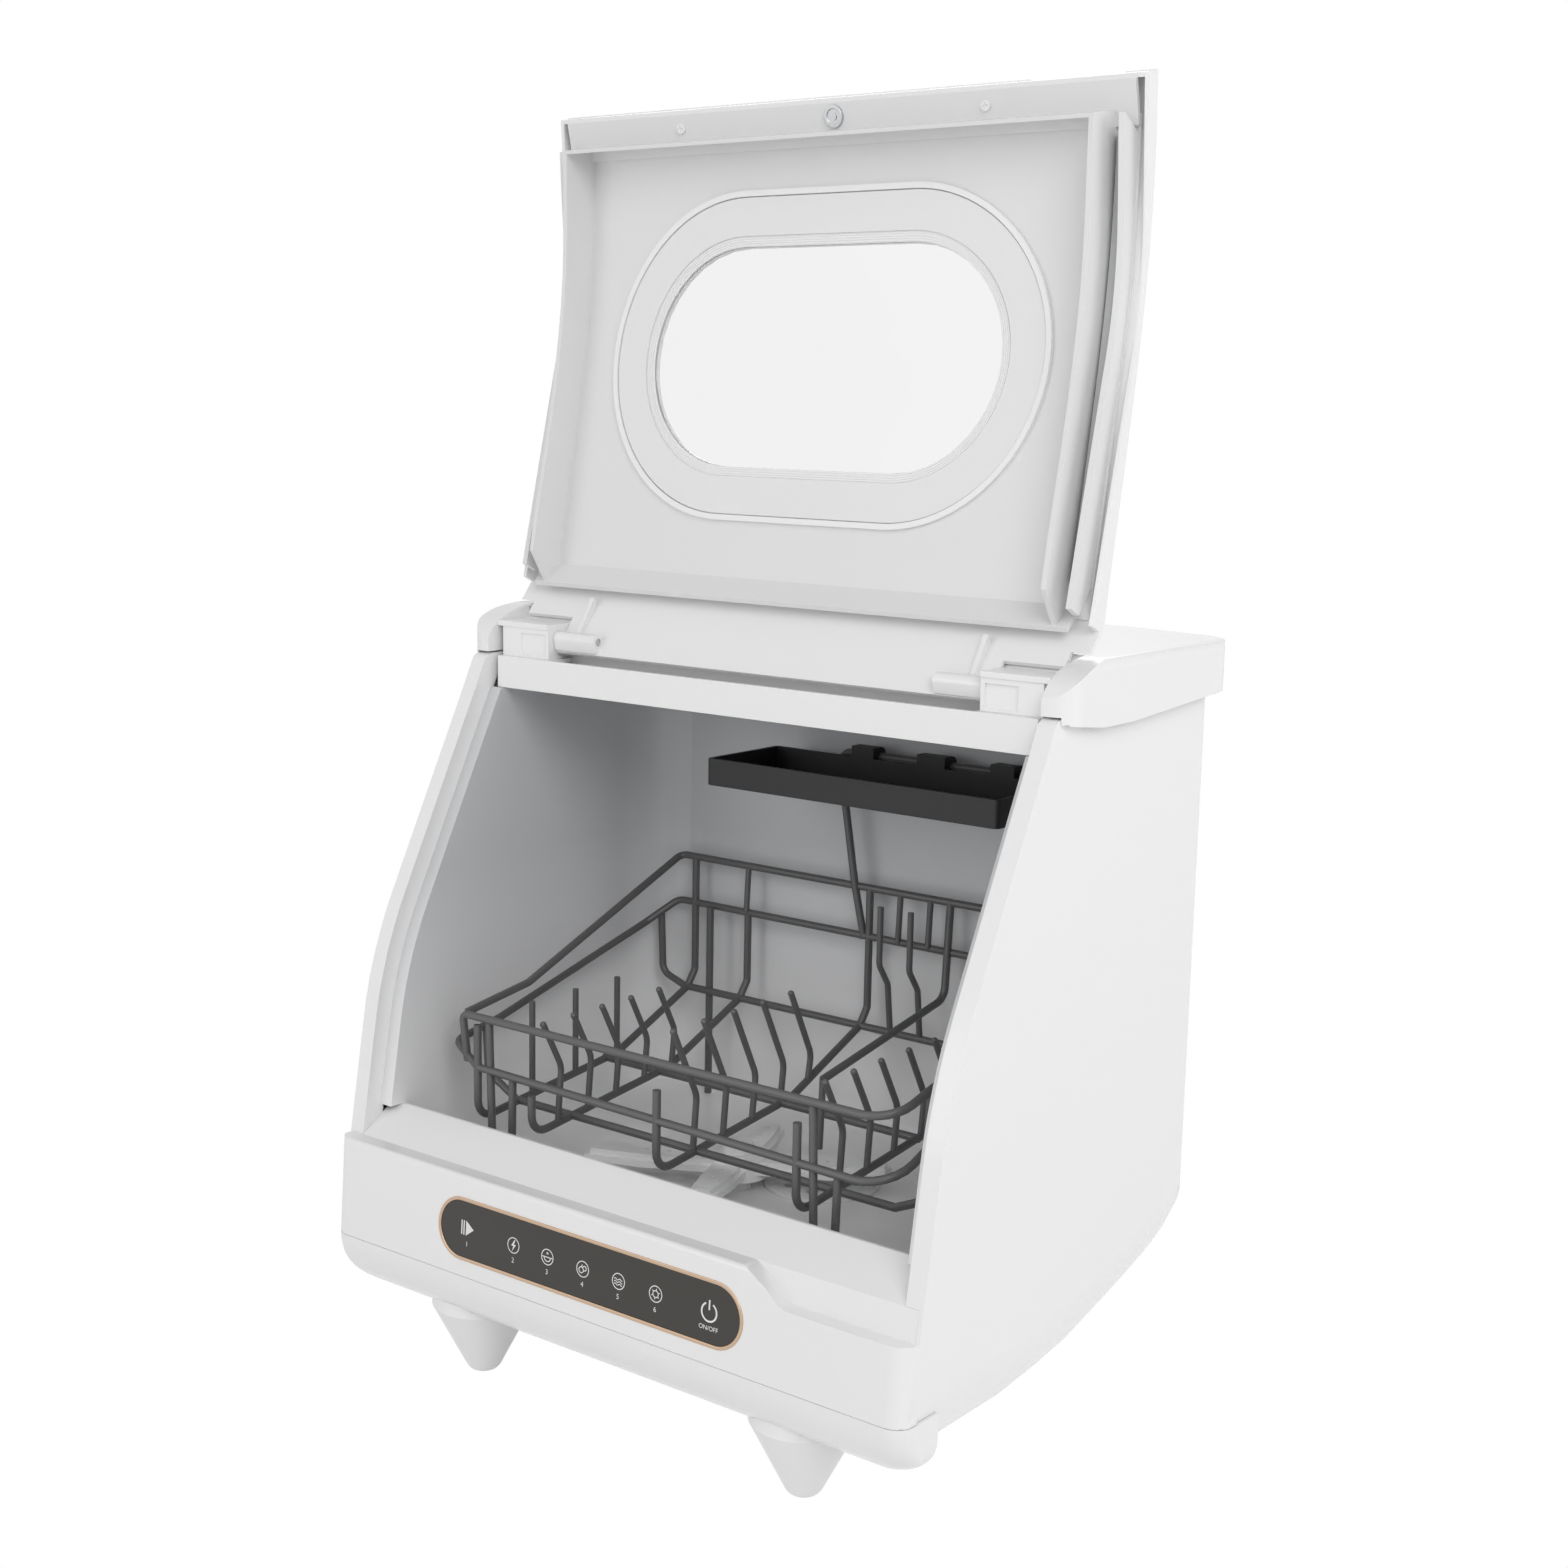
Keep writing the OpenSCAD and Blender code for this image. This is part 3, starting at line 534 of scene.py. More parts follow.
def make_finish(
    name, colour, drift, amount, rough, spread, grain, bump,
    metallic=0.0, coat=0.0, stretch=1.0, specular=0.5, transmission=0.0, ior=1.46,
):
    """A material fed by the shared surface group: its colour drifts by an amount, its roughness spreads."""
    mat = bpy.data.materials.new(name)
    mat.use_nodes = True
    nodes, links = mat.node_tree.nodes, mat.node_tree.links
    shader = nodes["Principled BSDF"]
    shader.inputs["Metallic"].default_value = metallic
    shader.inputs["Coat Weight"].default_value = coat
    shader.inputs["Coat Roughness"].default_value = 0.12
    shader.inputs["Specular IOR Level"].default_value = specular
    shader.inputs["IOR"].default_value = ior
    shader.inputs["Transmission Weight"].default_value = transmission
    surface = nodes.new("ShaderNodeGroup")
    surface.node_tree = FINISH["group"]
    surface.inputs["Colour"].default_value = (*colour, 1)
    surface.inputs["Drift Colour"].default_value = (*drift, 1)
    surface.inputs["Drift Amount"].default_value = amount
    surface.inputs["Grain Scale"].default_value = grain
    surface.inputs["Grain Stretch"].default_value = stretch
    surface.inputs["Roughness"].default_value = rough
    surface.inputs["Roughness Spread"].default_value = spread
    links.new(surface.outputs["Colour"], shader.inputs["Base Color"])
    links.new(surface.outputs["Roughness"], shader.inputs["Roughness"])
    relief = nodes.new("ShaderNodeBump")
    relief.inputs["Strength"].default_value = bump
    relief.inputs["Distance"].default_value = GRAIN_DEPTH
    links.new(surface.outputs["Height"], relief.inputs["Height"])
    links.new(relief.outputs["Normal"], shader.inputs["Normal"])
    FINISH[name] = mat


def lighten_low(name, colour, low, high):
    """Paints light into a finish: blends it to a lighter colour towards the bottom, between two heights in
    metres.
    """
    mat = FINISH[name]
    nodes, links = mat.node_tree.nodes, mat.node_tree.links
    base = nodes["Principled BSDF"].inputs["Base Color"]
    colour_above = base.links[0].from_socket
    coord, split = nodes.new("ShaderNodeTexCoord"), nodes.new("ShaderNodeSeparateXYZ")
    height = nodes.new("ShaderNodeMapRange")
    height.inputs["From Min"].default_value = low
    height.inputs["From Max"].default_value = high
    mix = nodes.new("ShaderNodeMix")
    mix.data_type = "RGBA"
    mix.inputs["A"].default_value = (*colour, 1)
    links.new(coord.outputs["Object"], split.inputs[0])
    links.new(split.outputs["Z"], height.inputs["Value"])
    links.new(height.outputs["Result"], mix.inputs["Factor"])
    links.new(colour_above, mix.inputs["B"])
    links.new(mix.outputs["Result"], base)


def grey(value):
    """A neutral colour."""
    return (value, value, value)


class DW_OT_finishes(bpy.types.Operator):
    """Make every finish of the dishwasher"""

    bl_idname = "dishwasher.finishes"
    bl_label = "Finishes"

    def whites(self, scene):
        """Housing, lid and tub mouldings, the window and its ring."""
        white, tub = scene.dw_housing.shell_colour, scene.dw_housing.tub_colour
        make_finish("gloss white", white, grey(0.82), 0.18, 0.24, 0.04, 1400, 0.05, coat=0.15)
        make_finish("liner white", (0.76, 0.76, 0.762), (0.73, 0.73, 0.735), 0.2, 0.36, 0.06, 1600, 0.08)
        make_finish("satin white", grey(0.86), grey(0.83), 0.2, 0.36, 0.06, 1600, 0.08)
        # Painted shade: the tub's colour and its drift colour are darkened greys standing for the shade
        # inside the tub
        make_finish("tub white painted light and shade", tub, (0.56, 0.567, 0.58), 0.3, 0.3, 0.06, 1200, 0.06)
        # Painted light: the tub's walls grow lighter towards the bottom, from 0.30 m down to 0.15 m
        lighten_low("tub white painted light and shade", (0.84, 0.84, 0.845), 0.15, 0.30)
        make_finish("ring grey", scene.dw_lid.ring_colour, grey(0.76), 0.2, 0.42, 0.06, 1800, 0.1)
        make_finish("border print", grey(0.87), grey(0.84), 0.2, 0.3, 0.05, 1500, 0.05)
        glass = {"specular": 0.2, "transmission": 1.0, "ior": 1.1}
        make_finish("clear window", grey(0.885), grey(0.88), 0.1, 0.02, 0.01, 300, 0.0, **glass)

    def rack_and_panel(self, scene):
        """Coated wire, black shelf, smoked panel, bronze trim and print."""
        coat, black = scene.dw_rack.wire_colour, scene.dw_rack.shelf_colour
        dark, bronze = scene.dw_panel.lens_colour, scene.dw_panel.trim_colour
        make_finish("coated wire", coat, (0.085, 0.085, 0.088), 0.5, 0.34, 0.1, 700, 0.25, specular=0.6)
        make_finish("shelf black", black, (0.02, 0.02, 0.022), 0.5, 0.42, 0.1, 1500, 0.25)
        make_finish("smoked panel", dark, (0.032, 0.028, 0.023), 0.3, 0.16, 0.03, 1100, 0.02, coat=0.2)
        metal = {"metallic": 0.85, "stretch": 0.2}
        make_finish("bronze trim", bronze, (0.52, 0.37, 0.26), 0.3, 0.3, 0.08, 900, 0.08, **metal)
        make_finish("print", grey(0.78), grey(0.7), 0.2, 0.5, 0.05, 900, 0.02)

    def gear(self):
        """Steel, rubber and the plastics of the wash gear."""
        metal = {"metallic": 1.0, "stretch": 0.15}
        make_finish("steel", (0.56, 0.57, 0.58), (0.48, 0.49, 0.5), 0.3, 0.26, 0.12, 800, 0.12, **metal)
        make_finish("black plastic", (0.03, 0.03, 0.032), (0.045, 0.045, 0.05), 0.4, 0.45, 0.1, 1300, 0.2)
        make_finish("grey rubber", (0.12, 0.12, 0.125), (0.09, 0.09, 0.095), 0.5, 0.6, 0.1, 1500, 0.25)
        make_finish("seal grey", (0.55, 0.555, 0.56), (0.48, 0.485, 0.49), 0.3, 0.55, 0.08, 1500, 0.2)
        make_finish("tank plastic", (0.72, 0.77, 0.8), (0.66, 0.7, 0.74), 0.3, 0.3, 0.08, 500, 0.08)
        make_finish("board green", (0.02, 0.12, 0.05), (0.015, 0.08, 0.035), 0.5, 0.4, 0.1, 600, 0.1)
        make_finish("inlet blue", (0.08, 0.2, 0.42), (0.06, 0.15, 0.33), 0.3, 0.4, 0.08, 1100, 0.15)

    def execute(self, context):
        FINISH["group"] = surface_group()
        self.whites(context.scene)
        self.rack_and_panel(context.scene)
        self.gear()
        return {"FINISHED"}


# ---- housing ----


class DW_OT_housing(bpy.types.Operator):
    """Make the outer mouldings, the tub and what carries the lid"""

    bl_idname = "dishwasher.housing"
    bl_label = "Housing"

    def corner_waste(self, side, half, front, reach, radius, low, high):
        """The waste outside one rounded upright corner, with room to spare in front and beside it."""
        edge = [(side * half, front + reach), (side * half, front), (side * (half - reach), front)]
        outline = [(side * (half + 4), front + reach)] + fillet(*edge, radius, 12)
        outline += [(side * (half - reach), front - 6), (side * (half + 4), front - 6)]
        return block("corner_waste", outline, "z", low, high)

    def round_corners(self, obj, low, high):
        """Rounds the two upright front corners, which lean back with the front panel."""
        for side in (1, -1):
            waste = self.corner_waste(side, HALF, 0, CORNER, CORNER, low, high)
            for vertex in waste.data.vertices:
                vertex.co.y += max(0.0, vertex.co.z - SEAM * MM) * math.tan(math.radians(LEAN))
            carve(obj, waste)
        return obj

    def side_shell(self, edge):
        """Sides, back and belly in one moulding."""
        return self.round_corners(moulding("body_shell", "side_shell", edge), SEAM, FRONT_TOP)

    def drawn_in(self, radius, z):
        """How far a lower edge of the chin, rounded to the radius, is drawn in at the height."""
        below = max(0.0, CHIN_FLOOR + radius - z)
        return radius - math.sqrt(max(0.0, radius ** 2 - below ** 2))

    def chin(self, edge):
        """Bull-nosed chin under the front panel, a seam's width below it."""
        steps = 14
        rings = []
        for k in range(steps + 1):
            down = 1 - k / steps
            z = CHIN_FLOOR + (SEAM - SEAM_GAP - CHIN_FLOOR) * (1 - math.sin(math.pi / 2 * down))
            half = HALF - self.drawn_in(CHIN_SIDE, z)
            front = min(self.drawn_in(CHIN_DEPTH, z), CHIN_DEPTH - 1.5)
            radius = min(CORNER + 5 * down, CHIN_DEPTH - front - 0.2)
            left, right = (-half, front), (half, front)
            ring = [(-half, CHIN_DEPTH)] + fillet((-half, CHIN_DEPTH), left, right, radius, 10)
            ring += fillet(left, right, (half, CHIN_DEPTH), radius, 10) + [(half, CHIN_DEPTH)]
            rings.append([place(p[0], p[1], z) for p in ring])
        return soften(loft("chin_tray", rings), edge * 0.5, 2, RIM_ANGLE)

    def front_face(self, edge):
        """Front panel with full corners, so that they can be rounded."""
        obj = moulding("front_panel", "front_face", edge)
        skin = 0.9
        for side, top in ((1, 120.7), (-1, FRONT_TOP)):
            lean = (top - SEAM) * math.tan(math.radians(LEAN))
            wedge = [(skin, SEAM + 0.2), (lean + skin, top), (14, top), (14, SEAM + 0.2)]
            carve(obj, block("corner_fill", wedge, "x", side * 200, side * (HALF - skin)), "UNION")
        return self.round_corners(obj, SEAM - 2, 160)

    def cover(self, edge):
        """Top cover whose two full ends fall forward in a soft swoop beside the hinge."""
        obj = moulding("top_cover", "top_lid_cover", edge * 1.4)
        skin = 1.5
        near, outer = COVER_FRONT + skin, COVER_HALF - skin
        end = [(near, 431), (185, 431), (185, 457), (near, 457)]
        skirt = [(near, 427), (150, 424.5), (150, 432), (near, 432)]
        fall = [(122, 434), (126, 440.5), (134, 448.6), (146, 454.4), (160, 457.8), (180, 460.5)]
        above = smooth_line(fall, 6) + [Vector((180, 480)), Vector((122, 480))]
        for side in (1, -1):
            carve(obj, block("end_fill", end, "x", side * 205.5, side * outer), "UNION")
            carve(obj, block("skirt_fill", skirt, "x", side * (HALF + 0.4), side * outer), "UNION")
            carve(obj, block("swoop", above, "x", side * 203, side * 230))
            carve(obj, self.corner_waste(side, COVER_HALF, COVER_FRONT, 14, 13.5, 400, 480))
        return soften(obj, edge * 1.7, 3, 30)

    def execute(self, context):
        edge = context.scene.dw_housing.edge_round
        for node, name, finish, slot, width in (
            ("tub", "wash_tub", "tub white painted light and shade", "white_satin", edge),
            ("header_beam", "opening_beam", "satin white", "white_satin", edge * 0.7),
            ("hinge_bracket_left", "bracket_left", "satin white", "white_satin", edge * 0.6),
            ("hinge_bracket_right", "bracket_right", "satin white", "white_satin", edge * 0.6),
            ("foot_front_left", "cone_foot_front_left", "satin white", "white_satin", edge),
            ("foot_front_right", "cone_foot_front_right", "satin white", "white_satin", edge),
            ("foot_rear_left", "cone_foot_rear_left", "satin white", "white_satin", edge),
            ("foot_rear_right", "cone_foot_rear_right", "satin white", "white_satin", edge),
            ("rear_grille", "vent_grille", "satin white", "white_satin", edge * 0.5),
            ("drain_outlet", "outlet_spigot", "black plastic", "black_plastic", edge * 0.5),
            ("water_inlet", "inlet_spigot", "inlet blue", "black_plastic", edge * 0.5),
            ("cable_gland", "cable_sleeve", "black plastic", "black_plastic", edge * 0.5),
            ("lid_sensor", "closed_lid_sensor", "black plastic", "black_plastic", edge * 0.5),
        ):
            complete(moulding(node, name, width), finish, slot, "housing", node)
        for node, piece in (
            ("body_shell", self.side_shell(edge)),
            ("base_tray", self.chin(edge)),
            ("front_panel", self.front_face(edge)),
            ("top_cover", self.cover(edge)),
        ):
            complete(piece, "gloss white", "white_gloss", "housing", node)
        return {"FINISHED"}


class DW_OT_touch_panel(bpy.types.Operator):
    """Make the smoked touch panel, its bronze ring and its printed symbols"""

    bl_idname = "dishwasher.touch_panel"
    bl_label = "Touch Panel"

    def face(self):
        """Matrix from the panel's own plane, in millimetres, to the frame."""
        return (
            Matrix.Translation(place(*PANEL_MIDDLE))
            @ Matrix.Rotation(math.radians(90 - LEAN), 4, "X")
            @ Matrix.Scale(MM, 4)
        )

    def plate(self, name, outline, low, high):
        """An outline on the panel's plane, extruded from low to high."""
        obj = extruded(name, [(p[0], p[1], low) for p in outline], (0, 0, high - low))
        obj.data.transform(self.face())
        return obj

    def patch(self, outline):
        """A printed patch, standing a hair above the panel."""
        return self.plate("ink", outline, 0.0, INK)

    def stroke(self, points, width, closed=False):
        """A printed line, as a flat band."""
        points = [Vector(p) for p in points]
        last = len(points) - 1
        left, right = [], []
        for i, point in enumerate(points):
            if closed:
                along = points[(i + 1) % len(points)] - points[i - 1]
            else:
                along = points[min(i + 1, last)] - points[max(i - 1, 0)]
            along = along.normalized()
            side = Vector((-along[1], along[0])) * width / 2
            left.append(point + side)
            right.append(point - side)
        if closed:
            return carve(self.patch(right), self.plate("ink_hole", left, -0.5, 0.5))
        return self.patch(left + right[::-1])

    def ring(self, x, y, radius, width, start=0, sweep=360, steps=40):
        """A circle or an arc of ink."""
        closed = sweep == 360
        points = []
        for i in range(steps if closed else steps + 1):
            turn = math.radians(start + sweep * i / steps)
            points.append((x + radius * math.cos(turn), y + radius * math.sin(turn)))
        return self.stroke(points, width, closed)

    def word(self, text, x, size):
        """A number or ON/OFF under its symbol, made a mesh on the panel."""
        only(None)
        bpy.ops.object.text_add()
        obj = bpy.context.object
        obj.data.body = text
        obj.data.size = size
        obj.data.align_x, obj.data.align_y = "CENTER", "CENTER"
        obj.data.extrude = INK / 2
        bpy.ops.object.convert(target="MESH")
        obj = bpy.context.object
        obj.data.transform(self.face() @ Matrix.Translation((x, NUMBER_LINE, INK / 2)))
        return obj

    def start_and_pause(self):
        """A triangle and two bars."""
        shapes = [self.patch([(-93.2, -3.6), (-86.9, 1.0), (-93.2, 5.6)])]
        for x in (-96.6, -94.8):
            shapes.append(self.patch(rectangle(x, 1.0, 0.45, 4.4)))
        return shapes

    def programmes(self, line):
        """Five circles, with a bolt, a pot, two round fruits, three waves and a sun in them."""
        shapes = [self.ring(x, 0.3, 4.5, line) for x in ICONS[1:]]
        bolt, pot, _, _, sun = ICONS[1:]
        zigzag = [(bolt + 0.7, 3.6), (bolt - 1.8, 0.0), (bolt - 0.1, 0.0), (bolt - 0.9, -3.2)]
        zigzag += [(bolt + 2.0, 0.9), (bolt + 0.3, 0.9), (bolt + 1.5, 3.6)]
        shapes.append(self.patch(zigzag))
        shapes.append(self.stroke([(pot - 3.9, 0.2), (pot + 3.9, 0.2)], line))
        shapes.append(self.ring(pot, 0.2, 2.5, line, 180, 180, 20))
        shapes.append(self.ring(pot, 2.5, 0.5, line * 0.8))
        shapes.append(self.ring(-1.0, -0.3, 1.7, line))
        shapes.append(self.ring(1.5, 0.9, 1.3, line))
        shapes.append(self.stroke([(-1.0, 1.4), (-0.2, 2.9)], line))
        for y in (-1.6, -0.1, 1.4):
            wave = [(23.9 + 0.55 * i, y + 0.45 * math.sin(i * 1.05)) for i in range(12)]
            shapes.append(self.stroke(wave, line * 0.9))
        shapes.append(self.ring(sun, 0.3, 1.9, line))
        for k in range(6):
            turn = math.radians(60 * k + 20)
            ray = [(sun + r * math.cos(turn), 0.3 + r * math.sin(turn)) for r in (1.9, 3.1)]
            shapes.append(self.stroke(ray, line))
        return shapes

    def power(self):
        """An open ring with an upright bar."""
        bold = 1.05
        ring = self.ring(POWER, 0.4, 5.2, bold, 118, 304, 44)
        return [ring, self.stroke([(POWER, 1.6), (POWER, 7.2)], bold)]

    def execute(self, context):
        line = context.scene.dw_panel.symbol_line / MM
        lens = self.plate("touch_panel_lens", stadium(LENS_RADIUS, PANEL_STRAIGHT, 40), -2.4, 0.0)
        soften(lens, 0.0004, 3, RIM_ANGLE)
        complete(lens, "smoked panel", "panel_dark", "housing", "touch_lens")
        ring = self.plate("bronze_ring", stadium(TRIM_RADIUS, PANEL_STRAIGHT, 48), -4.0, 0.6)
        carve(ring, self.plate("bronze_hole", stadium(LENS_RADIUS, PANEL_STRAIGHT, 48), -10, 10))
        soften(ring, 0.0005, 4, RIM_ANGLE)
        complete(ring, "bronze trim", "bronze_trim", "housing", "trim_ring")
        ink = self.start_and_pause() + self.programmes(line) + self.power()
        ink += [self.word(str(number), x, 4.2) for number, x in enumerate(ICONS, 1)]
        ink.append(self.word("ON/OFF", POWER, 3.7))
        complete(unite("printed_symbols", ink), "print", "panel_dark", "housing", weighted=False)
        return {"FINISHED"}


# ---- lid ----


class DW_OT_lid(bpy.types.Operator):
    """Make the lid's shell, liner, window, ring, seals, catch and screws"""

    bl_idname = "dishwasher.lid"
    bl_label = "Lid"

    def window_tool(self, radius):
        """A round-ended prism square to the closed lid at the window's middle."""
        half = bpy.context.scene.dw_lid.window_straight / MM
        obj = block("window_tool", stadium(radius, half, 48), "z", -40, 40)
        obj.data.transform(
            Matrix.Translation(place(0, *WINDOW_MIDDLE))
            @ Matrix.Rotation(math.radians(WINDOW_TILT), 4, "X")
            @ Matrix.Translation(place(0, 0, 0)).inverted()
        )
        return obj

    def layer(self, name, near, far, radius, hole=0):
        """A round-ended layer of the closed lid, between two depths under its outer line."""
        near_line, far_line = inward(LID_LINE, near), inward(LID_LINE, far)
        obj = block(name, near_line + far_line[::-1], "x", -200, 200)
        carve(obj, self.window_tool(radius), "INTERSECT")
        if hole > 0:
            carve(obj, self.window_tool(hole))
        return obj

    def window(self, inner):
        """Pane, gasket, flat ring, rounded bead a hair outside it, and the pane's printed border."""
        front, back, print_face = 2.5, 4.5, 4.7
        pane = soften(self.layer("window_pane", front, back, 84), 0.0003, 2, RIM_ANGLE)
        gasket = self.layer("window_seal", front, back, 86, 84)
        ring = soften(self.layer("window_bezel", back, 6.1, 94.9, inner), 0.0003, 2, RIM_ANGLE)
        bead = soften(self.layer("window_bead", back, 7.0, 98.9, 95.5), 0.0008, 3, RIM_ANGLE)
        border = self.layer("window_border_print", back, print_face, inner + 0.3, 66.3)
        lines = [self.layer("border_line", print_face, 5.2, r, r - 0.6) for r in (67.4, 68.8, 70.2, 71.6)]
        for piece, finish, slot, *nodes in (
            (pane, "clear window", "window_clear", "lid_window"),
            (gasket, "seal grey", "grey_rubber", "window_gasket"),
            (ring, "ring grey", "pale_grey", "window_ring"),
            (bead, "satin white", "white_satin"),
            (border, "border print", "pale_grey"),
            (unite("window_border_lines", lines), "satin white", "white_satin"),
        ):
            complete(swing(piece), finish, slot, "lid", *nodes)

    def catch(self):
        """Disc with a steel rim round a core, drawn closed."""
        x, z = 6, 149.5
        rim = rod("catch_rim", 6.5, (x, HEAD_BASE, z), (x, HEAD_TOP, z), 48)
        carve(rim, rod("catch_hole", 4.4, (x, RECESS, z), (x, 22, z), 40))
        core = rod("catch_core", 2.2, (x, 17.8, z), (x, 19.0, z), 32)
        soften(rim, 0.0003, 3, RIM_ANGLE)
        return unite("catch_button", [rim, core])

    def screws(self):
        """Two screw heads with cross slots, drawn closed."""
        heads = []
        for x in (-110, 110):
            head = rod("lid_screw", 3.0, (x, HEAD_BASE, 150), (x, HEAD_TOP, 150), 32)
            for wide, high in ((1.8, 0.3), (0.3, 1.8)):
                carve(head, block("cross", rectangle(x, 150, wide, high), "y", RECESS, 22))
            heads.append(soften(head, 0.0003, 2, RIM_ANGLE))
        return unite("lid_cross_screws", heads)

    def execute(self, context):
        edge = context.scene.dw_housing.edge_round
        for node, name, finish, slot, width in (
            ("lid_shell", "lid_outer_shell", "gloss white", "white_gloss", edge * 1.2),
            ("lid_liner", "lid_inner_liner", "liner white", "white_satin", edge * 0.8),
            ("lid_seal", "lid_side_seals", "seal grey", "grey_rubber", edge),
        ):
            complete(moulding(node, name, width), finish, slot, "lid", node)
        self.window(context.scene.dw_lid.window_radius / MM)
        complete(swing(self.catch()), "steel", "steel", "lid", "catch_disc")
        complete(swing(self.screws()), "satin white", "steel", "lid", "lid_screws")
        return {"FINISHED"}


# ---- rack and shelf ----

# Rows of tines: place from the middle, depths, height of the tips, and how far these lean to the front
TINE_ROWS = (
    (-4, (95, 123, 151, 179, 207), 230, 22),
    (98, (102, 129, 156, 184, 211), 218, 18),
    (-104, (85, 112, 138, 165, 192), 216, 16),
)
RACK_BEND = 190  # depth at which the rack's floor turns up
BEND_HEIGHT = 162.2  # height of the floor there
REAR_CROSS = 193.2  # height of the rear cross wire


def floor_height(y):
    """Height of the rack's floor wires at that depth."""
    if y < RACK_BEND:
        return 149 + (y - 72) * 0.112
    return BEND_HEIGHT + (y - RACK_BEND) * 0.43


class DW_OT_rack(bpy.types.Operator):
    """Make the coated wire rack with its tines and legs"""

    bl_idname = "dishwasher.rack"
    bl_label = "Rack"

    def basket(self, rail, thin):
        """Rim, belt, floor and the bent wires of the sides."""
        rim = [(-163, 66, 183), (-163, 62, 214), (160, 62, 215), (160, 110, 226), (160, 266, 283)]
        rim += [(150, 270, 283), (-163, 270, 283), (-163, 120, 222), (-163, 66, 214)]
        belt = [(-150, 62, 182), (160, 62, 177), (160, 258, 250), (150, 270, 251), (-165, 270, 251)]
        belt += [(-178, 250, 236), (-179, 110, 198), (-177, 70, 192), (-150, 62, 182)]
        wires = [wire("rim", rim, rail, (5, 20, 12, 5, 5, 5, 12))]
        wires.append(wire("belt", belt, rail, (24, 8, 8, 8, 8, 8, 8)))
        for x, front, top in ((-150, 209, 283), (-104, 173, 251), (-4, 198, 283), (98, 201, 283)):
            path = [(x, 62, front), (x, 62, 149), (x, 76, 149.5), (x, RACK_BEND, BEND_HEIGHT)]
            path += [(x, 262, 193), (x, 270, 204), (x, 270, top)]
            wires.append(wire("floor_wire", path, rail, (11, 3, 7, 5, 5)))
        wires.append(wire("middle_wire", [(58, 139, 199), (58, 266, 222), (58, 270, 283)], rail, 10))
        wires.append(wire("middle_post", [(58, 139, 199), (58, 137, 157)], thin, 4))
        for y, z, end in ((98, 152, 140), (180, 161.3, 100), (262, REAR_CROSS, 140)):
            wires.append(wire("cross_wire", [(-152, y, z), (end, y, z)], rail, 1))
        for path in (
            [(140, 98, 152), (158, 98, 160), (160, 100, 224)],
            [(140, 262, REAR_CROSS), (158, 262, 200), (160, 262, 280)],
            [(-152, 98, 152), (-177, 98, 165), (-179, 98, 196)],
            [(-152, 262, REAR_CROSS), (-172, 262, 200), (-174, 262, 243)],
        ):
            wires.append(wire("side_bend", path, rail, 9))
        return wires

    def legs(self, rail):
        """Two bent front legs and two straight rear legs."""
        wires = []
        for start, low, far, end, top in ((-142, -139, -123, -122, 212), (107, 109.5, 123, 125, 214)):
            path = [(start, 64, top), (low, 64, 120.8), (far, 64, 120.8), (end, 64, 179)]
            wires.append(wire("front_leg", path, rail, 6))
        for x in (-132, 124):
            wires.append(wire("rear_leg", [(x, 264, 251), (x, 264, 120.4)], rail, 1))
        return wires

    def tines(self, thin):
        """The thin upright wires."""
        wires = []
        for x, depths, top, lean in TINE_ROWS:
            for y in depths:
                path = [(x, y, floor_height(y)), (x, y + 3, 186), (x, y + 3 - lean, top)]
                wires.append(wire("tine", path, thin, 14))
        for y in (110, 150, 190):
            wires.append(wire("side_tine", [(-150, y, floor_height(y)), (-150, y, 214)], thin, 1))
        for x in (43, 20):
            path = [(x, 262, REAR_CROSS), (x, 258, 226), (x, 248, 240), (x, 248, 278)]
            wires.append(wire("rear_tine", path, thin, 8))
        return wires

    def rear(self, rail, thin):
        """The wire that holds the shelf, and the thin posts at the back."""
        path = [(-8, 270, 249), (-15, 268, 285), (-24, 268, 337), (-28, 268, 370)]
        path += [(-18, 268, 370), (148, 268, 370), (152, 268, 340), (150, 270, 283)]
        wires = [wire("shelf_holder", path, rail, 7)]
        for x in (-104, 20, 43):
            wires.append(wire("rear_post", [(x, 268, 251), (x, 270, 284)], thin, 1))
        return wires

    def beads(self, radius):
        """Drops of coating on the tips of the tines."""
        drops = []
        for x, depths, top, lean in TINE_ROWS:
            for y in depths:
                only(None)
                tip = place(x, y + 3 - lean, top - 0.3)
                bpy.ops.mesh.primitive_uv_sphere_add(segments=12, ring_count=8, radius=radius, location=tip)
                bpy.ops.object.transform_apply(location=True)
                drops.append(bpy.context.object)
        return drops

    def execute(self, context):
        rail, thin = context.scene.dw_rack.rail, context.scene.dw_rack.tine
        wires = self.basket(rail, thin) + self.legs(rail) + self.tines(thin)
        wires += self.rear(rail, thin) + self.beads(thin * 1.04)
        rack = unite("wire_rack", wires)
        complete(rack, "coated wire", "coated_wire", "rack", "rack", angle=50, weighted=False)
        return {"FINISHED"}


class DW_OT_shelf(bpy.types.Operator):
    """Make the black folding shelf"""

    bl_idname = "dishwasher.shelf"
    bl_label = "Shelf"

    def execute(self, context):
        tray = moulding("shelf", "folding_shelf", 0.0005)
        complete(tray, "shelf black", "black_plastic", "shelf", "shelf")
        return {"FINISHED"}


# ---- wash gear ----


